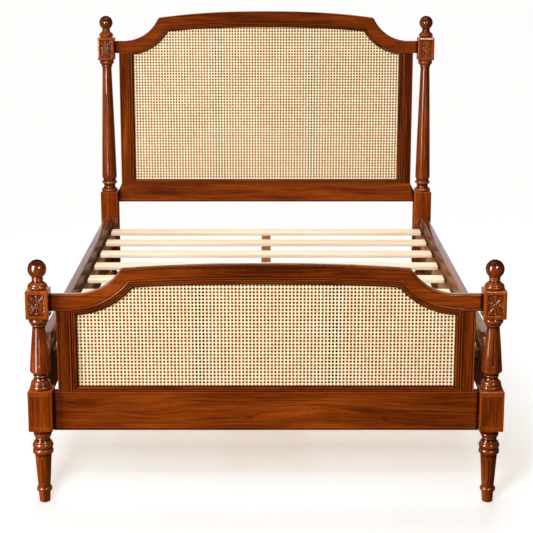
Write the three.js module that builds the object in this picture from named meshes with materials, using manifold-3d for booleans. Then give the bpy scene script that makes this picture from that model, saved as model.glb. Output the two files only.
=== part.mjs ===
// Cane bed with turned and fluted posts, built in millimetres with +Z up.
// The foot end faces -Y, the head end +Y, and the floor is at z = 0.
import * as THREE from 'three';
import { mergeVertices } from 'three/addons/utils/BufferGeometryUtils.js';
import Module from 'manifold-3d';

const wasm = await Module();
wasm.setup();

// Driving dimensions
const POST_X = 718;             // post axes, either side of the middle
const POST_Y = 1050;            // post axes, foot and head
const BLOCK = 77;               // lower post block, square
const CAP_BLOCK = 72;           // upper post block, square
const FRAME_T = 30;             // thickness of the head and foot frames
const STILE_OUT = 661.5;        // outer edge of a stile
const SIGHT_X = 597;            // half width of the cane that shows
const BEAD_SIDE = 18;           // width of the cane beads on the stiles
const GAP = 0.3;                // clearance between pieces that touch
const LATHE_STEPS = 14;         // facets round a turned piece

const RAIL = { inner: 712.5, outer: 741.5, bottom: 300, top: 510, sweepDrop: 130, sweepRun: 166 };
const CLEAT = { width: 30, height: 26, footEnd: -828 };
const SLAT = { count: 9, top: 459, thick: 16, width: 70, half: 703, headEdge: 991, pitch: 216 };
const BEAM = { width: 40, height: 60, footEnd: -812, headEnd: 996, legs: [-270, 560] };
const BRACKET = { wing: 30, leg: 62, plate: 3, height: 58 };

// Tenons: how far each goes in, and half its thickness. A mortise is a little larger all round.
const TENON = {
  crest: { reach: 24, half: 5 },
  rail: { reach: 30, half: 6 },
  bedRail: { reach: 24, half: 5 },
  stile: { reach: 20, half: 4.5, halfWidth: 12 },
  dowel: { reach: 30, radius: 9.5 },
};
const END_SLACK = 2 * GAP;      // space left past the end of a tenon

// Each end of the bed: heights of its blocks, rails and arched outlines
const FOOT_END = {
  name: 'foot', y: -POST_Y,
  post: { legTop: 248.6, blockTop: 382, capBottom: 619, capTop: 710 },
  crestTop: { x0: 600, z0: 694, x1: 456, z1: 775, crown: 790.5 },
  sight: { x0: 610, z0: 626, x1: 418, z1: 716, crown: 726 },
  beadTop: 18, crestUnder: 641, railTop: 376, railBottom: 246, sightBottom: 393.5,
  crestTenon: [652, 688], railTenon: [268, 354], bedRailTenon: [312, 368], bracketZ: 306,
};
const HEAD_END = {
  name: 'head', y: POST_Y,
  post: { legTop: 284, blockTop: 627, capBottom: 1228, capTop: 1329 },
  crestTop: { x0: 640, z0: 1312, x1: 482.5, z1: 1415, crown: 1444 },
  sight: { x0: 625, z0: 1249, x1: 440, z1: 1354, crown: 1373 },
  beadTop: 14, crestUnder: 1258, railTop: 663, railBottom: 578, sightBottom: 682,
  crestTenon: [1268, 1302], railTenon: [590, 620], bedRailTenon: [330, 480], bracketZ: 450,
  railShoulder: 626,            // height of the rail at the posts, where it slopes down from the stiles
};

// Finishes
const finish = (colour, roughness, metalness = 0) =>
  new THREE.MeshStandardMaterial({ color: colour, roughness, metalness });
const MAHOGANY = finish(0x6e2f12, 0.28);
const DARK_BATTEN = finish(0x241009, 0.6);
const BACK_BOARD = finish(0x96501f, 0.5);
const CANE = finish(0xefdcae, 0.6);
const BIRCH = finish(0xe8cfa8, 0.55);
const RAIL_WOOD = finish(0x5c2a14, 0.32);
const BROWN_PAINT = finish(0x5e2a10, 0.45, 0.1);
const STEEL = finish(0x55504b, 0.4, 0.9);

// Solids
function toSolid(geometry) {
  const bare = geometry.clone();
  bare.deleteAttribute('normal');
  bare.deleteAttribute('uv');
  const merged = mergeVertices(bare, 1e-4);
  const index = merged.index.array;
  const triangles = [];
  for (let i = 0; i < index.length; i += 3) {
    const [a, b, c] = [index[i], index[i + 1], index[i + 2]];
    if (a !== b && b !== c && c !== a) triangles.push(a, b, c);
  }
  const vertProperties = Float32Array.from(merged.attributes.position.array);
  const build = (order) => new wasm.Manifold(new wasm.Mesh({
    numProp: 3, vertProperties, triVerts: Uint32Array.from(order),
  }));
  const solid = build(triangles);
  if (solid.volume() > 0) return solid;
  const reversed = [];
  for (let i = 0; i < triangles.length; i += 3) {
    reversed.push(triangles[i], triangles[i + 2], triangles[i + 1]);
  }
  return build(reversed);
}

function toMesh(name, solid, material) {
  const mesh = solid.getMesh();
  const geometry = new THREE.BufferGeometry();
  geometry.setAttribute('position', new THREE.BufferAttribute(Float32Array.from(mesh.vertProperties), 3));
  geometry.setIndex(Array.from(mesh.triVerts));
  geometry.computeVertexNormals();
  const node = new THREE.Mesh(geometry, material);
  node.name = name;
  return node;
}

function box(x0, x1, y0, y1, z0, z1) {
  const geometry = new THREE.BoxGeometry(Math.abs(x1 - x0), Math.abs(y1 - y0), Math.abs(z1 - z0));
  geometry.translate((x0 + x1) / 2, (y0 + y1) / 2, (z0 + z1) / 2);
  return toSolid(geometry);
}

// A shape drawn in X and Z, extruded along Y from y0 to y1, with an optional chamfer on both faces
function plate(points, y0, y1, chamfer = 0) {
  const shape = new THREE.Shape(points.map(([x, z]) => new THREE.Vector2(x, z)));
  const geometry = new THREE.ExtrudeGeometry(shape, {
    depth: y1 - y0 - 2 * chamfer, bevelEnabled: chamfer > 0, bevelThickness: chamfer,
    bevelSize: chamfer, bevelOffset: -chamfer, bevelSegments: 1, curveSegments: 1,
  });
  geometry.translate(0, 0, chamfer);
  geometry.rotateX(Math.PI / 2);
  geometry.translate(0, y1, 0);
  return toSolid(geometry);
}

// A shape drawn in Y and Z, extruded along X from x0 to x1
function bar(points, x0, x1) {
  const shape = new THREE.Shape(points.map(([y, z]) => new THREE.Vector2(y, z)));
  const geometry = new THREE.ExtrudeGeometry(shape, { depth: x1 - x0, bevelEnabled: false });
  geometry.rotateY(Math.PI / 2);
  geometry.rotateX(Math.PI / 2);
  geometry.translate(x0, 0, 0);
  return toSolid(geometry);
}

// Turned work: a profile is a list of [radius, height] points from the bottom up
const arcSteps = (count) => Array.from({ length: count + 1 }, (_, i) => i / count);

function roundBead(z0, z1, rim, belly, steps = 3) {
  return arcSteps(steps).map((t) => {
    const angle = Math.PI * (t - 0.5);
    return [rim + (belly - rim) * Math.cos(angle), (z0 + z1) / 2 + (z1 - z0) / 2 * Math.sin(angle)];
  });
}

function turned(profile, facets = LATHE_STEPS) {
  const first = profile[0];
  const last = profile[profile.length - 1];
  const points = [[0, first[1]], ...profile, [0, last[1]]].map(([r, z]) => new THREE.Vector2(r, z));
  const geometry = new THREE.LatheGeometry(points, facets);
  geometry.rotateX(Math.PI / 2);
  return toSolid(geometry);
}

// The leg under the lower block: foot, ring, tapered reed, two rings and a collar
function legProfile(top) {
  const ring = top - 54;
  return [
    [16.5, 0], [17.4, 3], [18.7, 31],
    ...roundBead(33, 52, 20, 24.5, 2),
    [19.6, 55], [25.7, top - 92], [26.2, top - 84],
    ...roundBead(ring - 29, ring - 11, 26.5, 32.4),
    ...roundBead(ring - 4, ring + 16, 27.5, 33.4),
    [23.2, ring + 20], [24.5, ring + 26], [30.4, ring + 33], [33, top + 2],
  ];
}

// The foot of a column on the foot posts: torus, bell, fillet and the chamfer under the shaft
function bellBase(bottom) {
  return [
    [33, bottom - 2],
    ...roundBead(bottom, bottom + 13, 31.4, 34.6),
    [32, bottom + 20], [30, bottom + 25], [26, bottom + 29.5], [21, bottom + 36],
    ...roundBead(bottom + 42, bottom + 47, 21.4, 23.7, 2),
    [23.3, bottom + 50.5],
  ];
}

// The foot of a column on the head posts: torus, cove, ring, fillet and chamfer
function spoolBase(bottom) {
  return [
    [33, bottom - 2],
    ...roundBead(bottom, bottom + 13.5, 33, 36),
    [29, bottom + 17.5], [25.4, bottom + 22.5], [25.4, bottom + 28.5], [29.5, bottom + 35],
    ...roundBead(bottom + 36, bottom + 47, 31, 34.4, 2),
    [27.8, bottom + 49], [27.4, bottom + 54],
  ];
}

// The column between the blocks: its base, tapered shaft, neck and ring
function columnProfile(base, shaft, top) {
  const middle = shaft.start + (shaft.end - shaft.start) * 0.5;
  return [
    ...base,
    [shaft.foot, shaft.start],
    [(shaft.foot + shaft.neck) / 2 + 0.6, middle],
    [shaft.neck, shaft.end], [shaft.neck + 2.6, shaft.end + 7], [shaft.neck + 5, shaft.end + 11],
    ...roundBead(top - 20, top - 2, 27.5, 32, 2),
    [31, top + 2],
  ];
}

// The finial: torus, bell, ring, neck and ball, on a dowel that drops into the post
function finialProfile(base) {
  const ballCentre = base + 64.5;
  const ballRadius = 29.8;
  const ball = arcSteps(5).map((t) => {
    const angle = -0.98 + (Math.PI / 2 + 0.98) * t;
    return [ballRadius * Math.cos(angle), ballCentre + ballRadius * 1.02 * Math.sin(angle)];
  }).slice(0, -1);
  return [
    [TENON.dowel.radius, base - TENON.dowel.reach], [TENON.dowel.radius, base + GAP], [29, base + GAP],
    ...roundBead(base + 1, base + 13, 29.5, 32),
    [30.2, base + 15], [24.5, base + 20], [20.5, base + 23], [17, base + 27],
    ...roundBead(base + 28, base + 33, 17.2, 19, 2),
    [16.4, base + 36],
    ...ball, [2, ballCentre + ballRadius * 1.02 - 0.1],
  ];
}

// A stopped flute: a round-nosed cutter run along the taper between two heights
function flute(angle, z0, r0, z1, r1) {
  const noseRadius = 4.6;
  const depth = 2.4;
  const middle = (z0 + z1) / 2;
  const run = Math.hypot(z1 - z0, r1 - r0);
  const geometry = new THREE.CapsuleGeometry(noseRadius, run, 2, 6);
  geometry.rotateX(Math.PI / 2);
  geometry.rotateY(Math.atan2(r1 - r0, z1 - z0));
  geometry.translate((r0 + r1) / 2 + noseRadius - depth, 0, middle);
  geometry.rotateZ(angle);
  return toSolid(geometry);
}

// A sunk field on a block face that looks along the direction of the angle
function sunkField(angle, faceAt, width, z0, z1, depth) {
  const cutter = box(faceAt - depth, faceAt + 5, -width / 2, width / 2, z0, z1);
  return cutter.rotate([0, 0, angle]);
}

// Rosette in its sunk field: long diagonal leaves, a bud above and below, and a boss
function rosette(angle, faceAt, width, z0, z1) {
  const middle = (z0 + z1) / 2;
  const bed = faceAt - 3.2;
  let carving = toSolid(new THREE.SphereGeometry(5.2, 6, 4)).translate([bed, 0, middle]);
  const leafSlope = Math.atan2(z1 - z0, width);
  for (const turn of [leafSlope, -leafSlope]) {
    const leaf = new THREE.SphereGeometry(1, 4, 4);
    leaf.scale(2.8, Math.hypot(width, z1 - z0) / 2 - 3.5, 4.2);
    leaf.rotateX(turn);
    leaf.translate(bed, 0, middle);
    carving = carving.add(toSolid(leaf));
  }
  for (const dz of [-1, 1]) {
    const bud = new THREE.SphereGeometry(3.6, 5, 4);
    bud.translate(bed, 0, middle + dz * ((z1 - z0) / 2 - 6));
    carving = carving.add(toSolid(bud));
  }
  return carving.intersect(box(bed - 4, faceAt + 0.4, -width / 2, width / 2, z0, z1)).rotate([0, 0, angle]);
}

// One post with its mortises. side is -1 on the left and +1 on the right.
function makePost(end, side) {
  const { legTop, blockTop, capBottom, capTop } = end.post;
  const half = BLOCK / 2;
  const capHalf = CAP_BLOCK / 2;
  const isHead = end === HEAD_END;
  const shaft = isHead
    ? { start: blockTop + 65, end: 1190, foot: 33.2, neck: 20.2 }
    : { start: blockTop + 60, end: 586, foot: 33.6, neck: 21 };
  const base = isHead ? spoolBase(blockTop) : bellBase(blockTop);
  let post = turned(legProfile(legTop))
    .add(box(-half, half, -half, half, legTop, blockTop))
    .add(turned(columnProfile(base, shaft, capBottom)))
    .add(box(-capHalf, capHalf, -capHalf, capHalf, capBottom, capTop));

  // Four stopped flutes on the shaft and on the leg
  const shaftLength = shaft.end - shaft.start;
  const taper = (t) => shaft.foot + (shaft.neck - shaft.foot) * t;
  for (let i = 0; i < 4; i++) {
    const angle = i * Math.PI / 2;
    post = post.subtract(flute(angle, shaft.start + 0.16 * shaftLength, taper(0.16),
      shaft.start + 0.76 * shaftLength, taper(0.76)));
    post = post.subtract(flute(angle, 66, 20.2, legTop - 104, 24.7));
  }

  // The carved field on the front and outer faces of the cap block
  const outerAngle = side > 0 ? 0 : 180;
  for (const angle of [-90, outerAngle]) {
    const z0 = capBottom + 11;
    const z1 = capTop - 12;
    post = post.subtract(sunkField(angle, capHalf, 51, z0, z1, 3.2))
      .add(rosette(angle, capHalf, 51, z0, z1));
  }

  // The framed panel line on the same faces of the lower block
  const panelTop = isHead ? end.railBottom - 32 : blockTop - 20;
  for (const angle of isHead ? [outerAngle] : [-90, outerAngle]) {
    const line = sunkField(angle, half, 61, legTop + 20, panelTop, 1.6)
      .subtract(sunkField(angle, half, 56, legTop + 22.5, panelTop - 2.5, 1.8));
    post = post.subtract(line);
  }

  // Mortises for the crest, the lower rail, the bed rail and the finial dowel
  const inward = -side;
  const [c0, c1] = end.crestTenon;
  const [r0, r1] = end.railTenon;
  const [b0, b1] = end.bedRailTenon;
  const bedSide = isHead ? -1 : 1;
  const railMiddle = side * ((RAIL.inner + RAIL.outer) / 2 - POST_X);
  const crestHalf = TENON.crest.half + GAP;
  const railHalf = TENON.rail.half + GAP;
  const bedHalf = TENON.bedRail.half + GAP;
  const dowelHole = TENON.dowel.radius + GAP;
  const past = 5;
  return post
    .subtract(box(inward * (capHalf - TENON.crest.reach - END_SLACK), inward * (capHalf + past),
      -crestHalf, crestHalf, c0 - GAP, c1 + GAP))
    .subtract(box(inward * (half - TENON.rail.reach - END_SLACK), inward * (half + past),
      -railHalf, railHalf, r0 - GAP, r1 + GAP))
    .subtract(box(railMiddle - bedHalf, railMiddle + bedHalf,
      bedSide * (half - TENON.bedRail.reach - END_SLACK), bedSide * (half + past), b0 - GAP, b1 + GAP))
    .subtract(turned([[dowelHole, capTop - TENON.dowel.reach - END_SLACK], [dowelHole, capTop + past]]));
}

// The arched top edge, left to right. Its concave shoulders are arcs from a level start at
// (x0, z0) to a corner at (x1, z1), and between the corners it rises gently to the crown.
function archPoints(arch, edgeX, offset, steps = 7) {
  const rise = arch.z1 - arch.z0;
  const run = arch.x0 - arch.x1;
  const radius = (run * run + rise * rise) / (2 * rise);
  const r = radius - offset;
  const camber = (x) => arch.crown + offset - (arch.crown - arch.z1) * Math.abs(x / arch.x1) ** 2.4;
  const onArc = (angle) => [-arch.x0 + r * Math.sin(angle), arch.z0 + radius - r * Math.cos(angle)];
  let low = 0;
  let high = Math.PI / 2;
  for (let i = 0; i < 40; i++) {
    const middle = (low + high) / 2;
    const [x, z] = onArc(middle);
    if (z < camber(x)) low = middle;
    else high = middle;
  }
  const start = edgeX > arch.x0 ? 0 : Math.asin((arch.x0 - edgeX) / r);
  const left = edgeX > arch.x0 ? [[-edgeX, arch.z0 + offset]] : [];
  for (const t of arcSteps(steps)) left.push(onArc(start + (low - start) * t));
  const corner = left[left.length - 1][0];
  for (const t of arcSteps(4).slice(1, -1)) left.push([corner * (1 - t), camber(corner * (1 - t))]);
  const right = left.map(([x, z]) => [-x, z]).reverse();
  return [...left, [0, arch.crown + offset], ...right];
}

// The closed outline of the cane opening, grown by the widths given for its top, sides and bottom
function openingOutline(end, up, aside, down) {
  const edge = SIGHT_X + aside;
  const bottom = end.sightBottom - down;
  return [[-edge, bottom], ...archPoints(end.sight, edge, up), [edge, bottom]];
}

const LIP = [-2, 3];             // the tongue of the frame that the cane and the boards rest on
const ROOT = 4;                  // how far a tenon runs back into its own piece

function stileMortise(x, z0, z1) {
  const halfWidth = TENON.stile.halfWidth + GAP;
  const half = TENON.stile.half + GAP;
  return box(x - halfWidth, x + halfWidth, -half, half, z0, z1);
}

function makeCrest(end) {
  const postFace = POST_X - CAP_BLOCK / 2 - GAP;
  const edge = SIGHT_X + BEAD_SIDE;
  const outer = archPoints(end.crestTop, postFace, 0);
  const inner = archPoints(end.sight, edge, end.beadTop).reverse();
  const body = plate([...outer, [postFace, end.crestUnder], [edge, end.crestUnder], ...inner,
    [-edge, end.crestUnder], [-postFace, end.crestUnder]], -FRAME_T / 2, FRAME_T / 2, 2);
  const lipOuter = archPoints(end.sight, edge - GAP, end.beadTop + 6);
  const lipInner = archPoints(end.sight, SIGHT_X, 0).reverse();
  const lip = plate([...lipOuter, ...lipInner], LIP[0], LIP[1]);
  const [t0, t1] = end.crestTenon;
  const { reach, half } = TENON.crest;
  const tenons = box(-postFace - reach, -postFace + ROOT, -half, half, t0, t1)
    .add(box(postFace - ROOT, postFace + reach, -half, half, t0, t1));
  // Mortises that take the tenons on top of the stiles
  const middle = (STILE_OUT + edge) / 2;
  let crest = body.add(lip).add(tenons);
  for (const side of [-1, 1]) {
    crest = crest.subtract(stileMortise(side * middle, end.crestUnder - ROOT,
      end.crestUnder + TENON.stile.reach + END_SLACK));
  }
  return crest;
}

function makeStile(end, side) {
  const edge = SIGHT_X + BEAD_SIDE;
  const middle = side * (STILE_OUT + edge) / 2;
  const bottom = end.railTop + GAP;
  const top = end.crestUnder - GAP;
  const halfWidth = (STILE_OUT - edge) / 2;
  const profile = [
    [middle - halfWidth, bottom], [middle + halfWidth, bottom],
    [middle + halfWidth, top], [middle - halfWidth, top],
  ];
  const lipTop = archPoints(end.sight, SIGHT_X, 0)[0][1];
  const lip = plate([[side * (edge + 4), bottom], [side * SIGHT_X, end.sightBottom],
    [side * SIGHT_X, lipTop - 2], [side * (edge + 4), top - 2]], LIP[0], LIP[1]);
  const { reach, half, halfWidth: tongue } = TENON.stile;
  return plate(profile, -FRAME_T / 2, FRAME_T / 2, 1.5)
    .add(lip)
    .add(box(middle - tongue, middle + tongue, -half, half, top - ROOT, top + reach))
    .add(box(middle - tongue, middle + tongue, -half, half, bottom - reach, bottom + ROOT));
}

function makeLowerRail(end) {
  const half = FRAME_T / 2;
  const face = POST_X - BLOCK / 2 - GAP;
  const { railTop: top, railBottom: bottom } = end;
  const edge = SIGHT_X + BEAD_SIDE;
  // A small bead is worked along the lower front edge
  const section = [
    [-half, bottom + 2], [-half + 2, bottom], [half - 2, bottom], [half, bottom + 2],
    [half, top - 1.5], [half - 1.5, top], [-half + 1.5, top], [-half, top - 1.5],
    [-half, bottom + 11], [-half + 1.8, bottom + 9.5], [-half, bottom + 8],
  ];
  const [t0, t1] = end.railTenon;
  const { reach, half: thin } = TENON.rail;
  const middle = (STILE_OUT + edge) / 2;
  let rail = bar(section, -face, face)
    .add(box(-face - reach, -face + ROOT, -thin, thin, t0, t1))
    .add(box(face - ROOT, face + reach, -thin, thin, t0, t1))
    .add(plate([[-edge + 0.4, top - 3], [edge - 0.4, top - 3], [edge - 0.4, top + GAP],
      [SIGHT_X - 0.4, end.sightBottom], [-SIGHT_X + 0.4, end.sightBottom], [-edge + 0.4, top + GAP]],
      LIP[0], LIP[1]));
  for (const side of [-1, 1]) {
    rail = rail.subtract(stileMortise(side * middle, top - TENON.stile.reach - END_SLACK, top + ROOT));
    if (end.railShoulder) {
      const corner = [
        [STILE_OUT, top], [STILE_OUT, top + 1],
        [face + 1, top + 1], [face + 1, end.railShoulder],
      ];
      rail = rail.subtract(plate(corner.map(([x, z]) => [side * x, z]), -half - 1, half + 1));
    }
  }
  return rail;
}

// The four beads that hold the cane in its rebate, mitred where they meet
const BEAD_FRONT = -13;
const BEAD_BACK = -4.6;

function makeTopBead(end) {
  const outer = archPoints(end.sight, SIGHT_X + BEAD_SIDE - GAP, end.beadTop - GAP);
  const inner = archPoints(end.sight, SIGHT_X, 0).reverse();
  return plate([...outer, ...inner], BEAD_FRONT, BEAD_BACK, 2.5);
}

function makeSideBead(end, side) {
  const edge = SIGHT_X + BEAD_SIDE - GAP;
  const inner = archPoints(end.sight, SIGHT_X, 0)[0][1];
  const outer = archPoints(end.sight, edge, end.beadTop - GAP)[0][1];
  const down = end.sightBottom - end.railTop - GAP;
  const points = [[edge, end.sightBottom - down + 0.6], [edge, outer - 0.6],
    [SIGHT_X, inner - 0.6], [SIGHT_X, end.sightBottom + 0.6]];
  return plate(points.map(([x, z]) => [side * x, z]), BEAD_FRONT, BEAD_BACK, 2.5);
}

function makeBottomBead(end) {
  const edge = SIGHT_X + BEAD_SIDE - GAP;
  const bottom = end.railTop + GAP;
  return plate([[-edge, bottom], [edge, bottom], [SIGHT_X, end.sightBottom], [-SIGHT_X, end.sightBottom]],
    BEAD_FRONT, BEAD_BACK, 2.5);
}

// The woven cane is a thin sheet here, held between the beads and the lip
function makeCane(end) {
  const down = end.sightBottom - end.railTop - 1;
  return plate(openingOutline(end, end.beadTop - 1, BEAD_SIDE - 1, down), -4.2, LIP[0] - GAP);
}

// Three boards back each panel, with dark battens behind the gaps between them
const BOARD_GAP = { at: 212, half: 19 };

function makeBackBoard(end, x0, x1) {
  const down = end.sightBottom - end.railTop - 1;
  const whole = plate(openingOutline(end, end.beadTop - 1, BEAD_SIDE - 1, down), LIP[1] + GAP, 9.5);
  return whole.intersect(box(x0, x1, 0, 20, end.sightBottom - 40, end.sight.crown + 40));
}

function makeBatten(end, side) {
  const x = side * BOARD_GAP.at;
  const down = end.sightBottom - end.railTop - 1;
  const whole = plate(openingOutline(end, end.beadTop - 1, BEAD_SIDE - 1, down), 9.8, 15);
  return whole.intersect(box(x - 34, x + 34, 0, 20, end.sightBottom - 40, end.sight.crown + 40));
}

// One bed rail along Y, with a stub tenon at each end and a swept shoulder at the foot
function makeBedRail(side) {
  const footFace = -POST_Y + BLOCK / 2 + GAP;
  const headFace = POST_Y - BLOCK / 2 - GAP;
  const { sweepRun: run, sweepDrop: drop } = RAIL;
  const radius = (run * run + drop * drop) / (2 * drop);
  const sweepAngle = Math.asin(run / radius);
  const sweep = arcSteps(8).map((t) => {
    const angle = sweepAngle * t;
    return [footFace + radius * Math.sin(angle), RAIL.top - drop + radius * (1 - Math.cos(angle))];
  });
  const { bottom, top } = RAIL;
  const outline = [[footFace, bottom], [headFace, bottom], [headFace, top], ...sweep.reverse()];
  const middle = (RAIL.inner + RAIL.outer) / 2;
  const [f0, f1] = FOOT_END.bedRailTenon;
  const [h0, h1] = HEAD_END.bedRailTenon;
  const { reach, half } = TENON.bedRail;
  const [x0, x1] = [side * middle - half, side * middle + half];
  return bar(outline, side > 0 ? RAIL.inner : -RAIL.outer, side > 0 ? RAIL.outer : -RAIL.inner)
    .add(box(x0, x1, footFace - reach, footFace + ROOT, f0, f1))
    .add(box(x0, x1, headFace - ROOT, headFace + reach, h0, h1));
}

function makeCleat(side) {
  const inner = RAIL.inner - CLEAT.width;
  const top = SLAT.top - SLAT.thick - GAP;
  const headEnd = POST_Y - BLOCK / 2 - 4;
  const [x0, x1] = [side * inner, side * (RAIL.inner - GAP)].sort((a, b) => a - b);
  return box(x0, x1, CLEAT.footEnd, headEnd, top - CLEAT.height, top);
}

// A slat has eased long edges
function makeSlat(y) {
  const bottom = SLAT.top - SLAT.thick;
  const ease = 2;
  const half = SLAT.width / 2;
  const section = [
    [-half, bottom + ease], [-half + ease, bottom], [half - ease, bottom], [half, bottom + ease],
    [half, SLAT.top - ease], [half - ease, SLAT.top], [-half + ease, SLAT.top], [-half, SLAT.top - ease],
  ];
  return bar(section.map(([dy, z]) => [y + dy, z]), -SLAT.half, SLAT.half);
}

function makeBeam() {
  const top = SLAT.top - SLAT.thick - GAP;
  return box(-BEAM.width / 2, BEAM.width / 2, BEAM.footEnd, BEAM.headEnd, top - BEAM.height, top);
}

function makeBeamLeg() {
  const top = SLAT.top - SLAT.thick - BEAM.height - 2 * GAP;
  const foot = [[21, 0], [22, 3], [20, 9], [10, 14], [10, 30]];
  const tube = [[14, 32], [14, top - 5], [19, top - 5], [19, top]];
  return turned([...foot, ...tube], 10);
}

// A steel angle in the corner between a post and a bed rail
function makeBracket(end, side) {
  const isHead = end === HEAD_END;
  const toward = isHead ? -1 : 1;
  const face = end.y + toward * (BLOCK / 2 + GAP);
  const inner = RAIL.inner - GAP;
  const { wing, leg, plate: t, height } = BRACKET;
  const z0 = end.bracketZ;
  const onPost = box(side * (inner - wing), side * inner, face, face + toward * t, z0, z0 + height);
  const onRail = box(side * (inner - t), side * inner, face, face + toward * leg, z0, z0 + height);
  return onPost.add(onRail);
}

// Assembly
const bed = new THREE.Group();

function buildEnd(end) {
  const group = new THREE.Group();
  group.position.set(0, end.y, 0);
  const sides = [[-1, 'left'], [1, 'right']];
  for (const [side, word] of sides) {
    const post = toMesh(`${end.name}_post_${word}`, makePost(end, side), MAHOGANY);
    const finial = toMesh(`${end.name}_finial_${word}`, turned(finialProfile(end.post.capTop)), MAHOGANY);
    post.position.x = side * POST_X;
    finial.position.x = side * POST_X;
    group.add(post, finial);
    group.add(toMesh(`${end.name}_stile_${word}`, makeStile(end, side), MAHOGANY));
    group.add(toMesh(`${end.name}_bead_${word}`, makeSideBead(end, side), MAHOGANY));
    group.add(toMesh(`${end.name}_batten_${word}`, makeBatten(end, side), DARK_BATTEN));
  }
  group.add(toMesh(`${end.name}_crest_rail`, makeCrest(end), MAHOGANY));
  group.add(toMesh(`${end.name}_lower_rail`, makeLowerRail(end), MAHOGANY));
  group.add(toMesh(`${end.name}_bead_top`, makeTopBead(end), MAHOGANY));
  group.add(toMesh(`${end.name}_bead_bottom`, makeBottomBead(end), MAHOGANY));
  group.add(toMesh(`${end.name}_cane_panel`, makeCane(end), CANE));
  const { at, half } = BOARD_GAP;
  const edge = SIGHT_X + BEAD_SIDE;
  const boards = [
    [-edge, -at - half, 'left'],
    [-at + half, at - half, 'middle'],
    [at + half, edge, 'right'],
  ];
  for (const [x0, x1, word] of boards) {
    group.add(toMesh(`${end.name}_back_board_${word}`, makeBackBoard(end, x0, x1), BACK_BOARD));
  }
  bed.add(group);
}

buildEnd(FOOT_END);
buildEnd(HEAD_END);

for (const [side, word] of [[-1, 'left'], [1, 'right']]) {
  bed.add(toMesh(`bed_rail_${word}`, makeBedRail(side), RAIL_WOOD));
  bed.add(toMesh(`slat_cleat_${word}`, makeCleat(side), RAIL_WOOD));
  for (const end of [FOOT_END, HEAD_END]) {
    bed.add(toMesh(`rail_bracket_${end.name}_${word}`, makeBracket(end, side), BROWN_PAINT));
  }
}

for (let i = 0; i < SLAT.count; i++) {
  const y = SLAT.headEdge - SLAT.width / 2 - i * SLAT.pitch;
  bed.add(toMesh(`slat_${i + 1}`, makeSlat(y), BIRCH));
}

bed.add(toMesh('centre_beam', makeBeam(), BIRCH));
BEAM.legs.forEach((y, i) => {
  const leg = toMesh(`beam_leg_${i + 1}`, makeBeamLeg(), STEEL);
  leg.position.y = y;
  bed.add(leg);
});

export default bed;
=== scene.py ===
# Cane bed with turned and carved posts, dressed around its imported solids.
# Lengths in this script are millimetres. They become metres where a mesh is made.
import math
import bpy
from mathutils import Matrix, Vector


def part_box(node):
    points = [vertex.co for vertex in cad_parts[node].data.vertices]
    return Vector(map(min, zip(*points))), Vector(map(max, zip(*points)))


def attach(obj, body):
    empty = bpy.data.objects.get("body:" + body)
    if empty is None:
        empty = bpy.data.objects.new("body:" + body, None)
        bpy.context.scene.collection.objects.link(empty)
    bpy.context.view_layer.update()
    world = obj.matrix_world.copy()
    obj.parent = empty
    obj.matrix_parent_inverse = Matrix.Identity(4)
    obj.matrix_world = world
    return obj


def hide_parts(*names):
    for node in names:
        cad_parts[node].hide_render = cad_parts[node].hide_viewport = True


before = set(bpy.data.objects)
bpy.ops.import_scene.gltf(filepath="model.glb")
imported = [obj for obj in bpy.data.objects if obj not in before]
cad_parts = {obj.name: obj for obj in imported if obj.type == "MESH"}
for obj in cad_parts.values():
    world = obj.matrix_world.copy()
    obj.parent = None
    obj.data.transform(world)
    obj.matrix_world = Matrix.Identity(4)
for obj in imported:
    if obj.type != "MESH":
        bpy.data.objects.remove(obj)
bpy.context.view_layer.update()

from types import SimpleNamespace

import bmesh
import bpy
import numpy as np
from mathutils import Vector

MM = 0.001
QUARTER = math.pi / 2

# The frames of the two ends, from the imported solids
POST_X = 718.0            # post axes, either side of the middle
BLOCK = 77.0              # lower block of a post, square
CAP_BLOCK = 72.0          # upper block of a post, square
FRAME_T = 30.0            # thickness of the head and foot frames
STILE_OUT = 661.5         # outer edge of a stile
SIGHT_X = 597.0           # half width of the cane that shows
BEAD_SIDE = 18.0          # width of the cane beads on the stiles
STILE_IN = SIGHT_X + BEAD_SIDE
GAP = 0.3                 # clearance between pieces that touch
SIDES = ((-1, "left"), (1, "right"))

# shaft: its start and stop, and its radius at each. crest and sight: the x and z where the shoulder of the
# arch starts, the x and z where it meets the cambered middle, and the height of the crown.
FOOT = SimpleNamespace(
    name="foot", y=-1050.0, pitch=11.4, leg_top=248.6, block_top=382.0, cap_bottom=619.0, cap_top=710.0,
    shaft=(442.0, 586.0, 33.6, 21.0), crest=(600.0, 694.0, 456.0, 775.0, 790.5),
    sight=(610.0, 626.0, 418.0, 716.0, 726.0), bead_top=18.0, crest_under=641.0, rail_top=376.0,
    rail_shoulder=376.0, rail_bottom=246.0, sight_bottom=393.5, panel_top=362.0, panel_faces=(3,))
HEAD = SimpleNamespace(
    name="head", y=1050.0, pitch=12.75, leg_top=284.0, block_top=627.0, cap_bottom=1228.0, cap_top=1329.0,
    shaft=(692.0, 1190.0, 33.2, 20.2), crest=(640.0, 1312.0, 482.5, 1415.0, 1444.0),
    sight=(625.0, 1249.0, 440.0, 1354.0, 1373.0), bead_top=14.0, crest_under=1258.0, rail_top=663.0,
    rail_shoulder=626.0, rail_bottom=578.0, sight_bottom=682.0, panel_top=546.0, panel_faces=())


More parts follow.
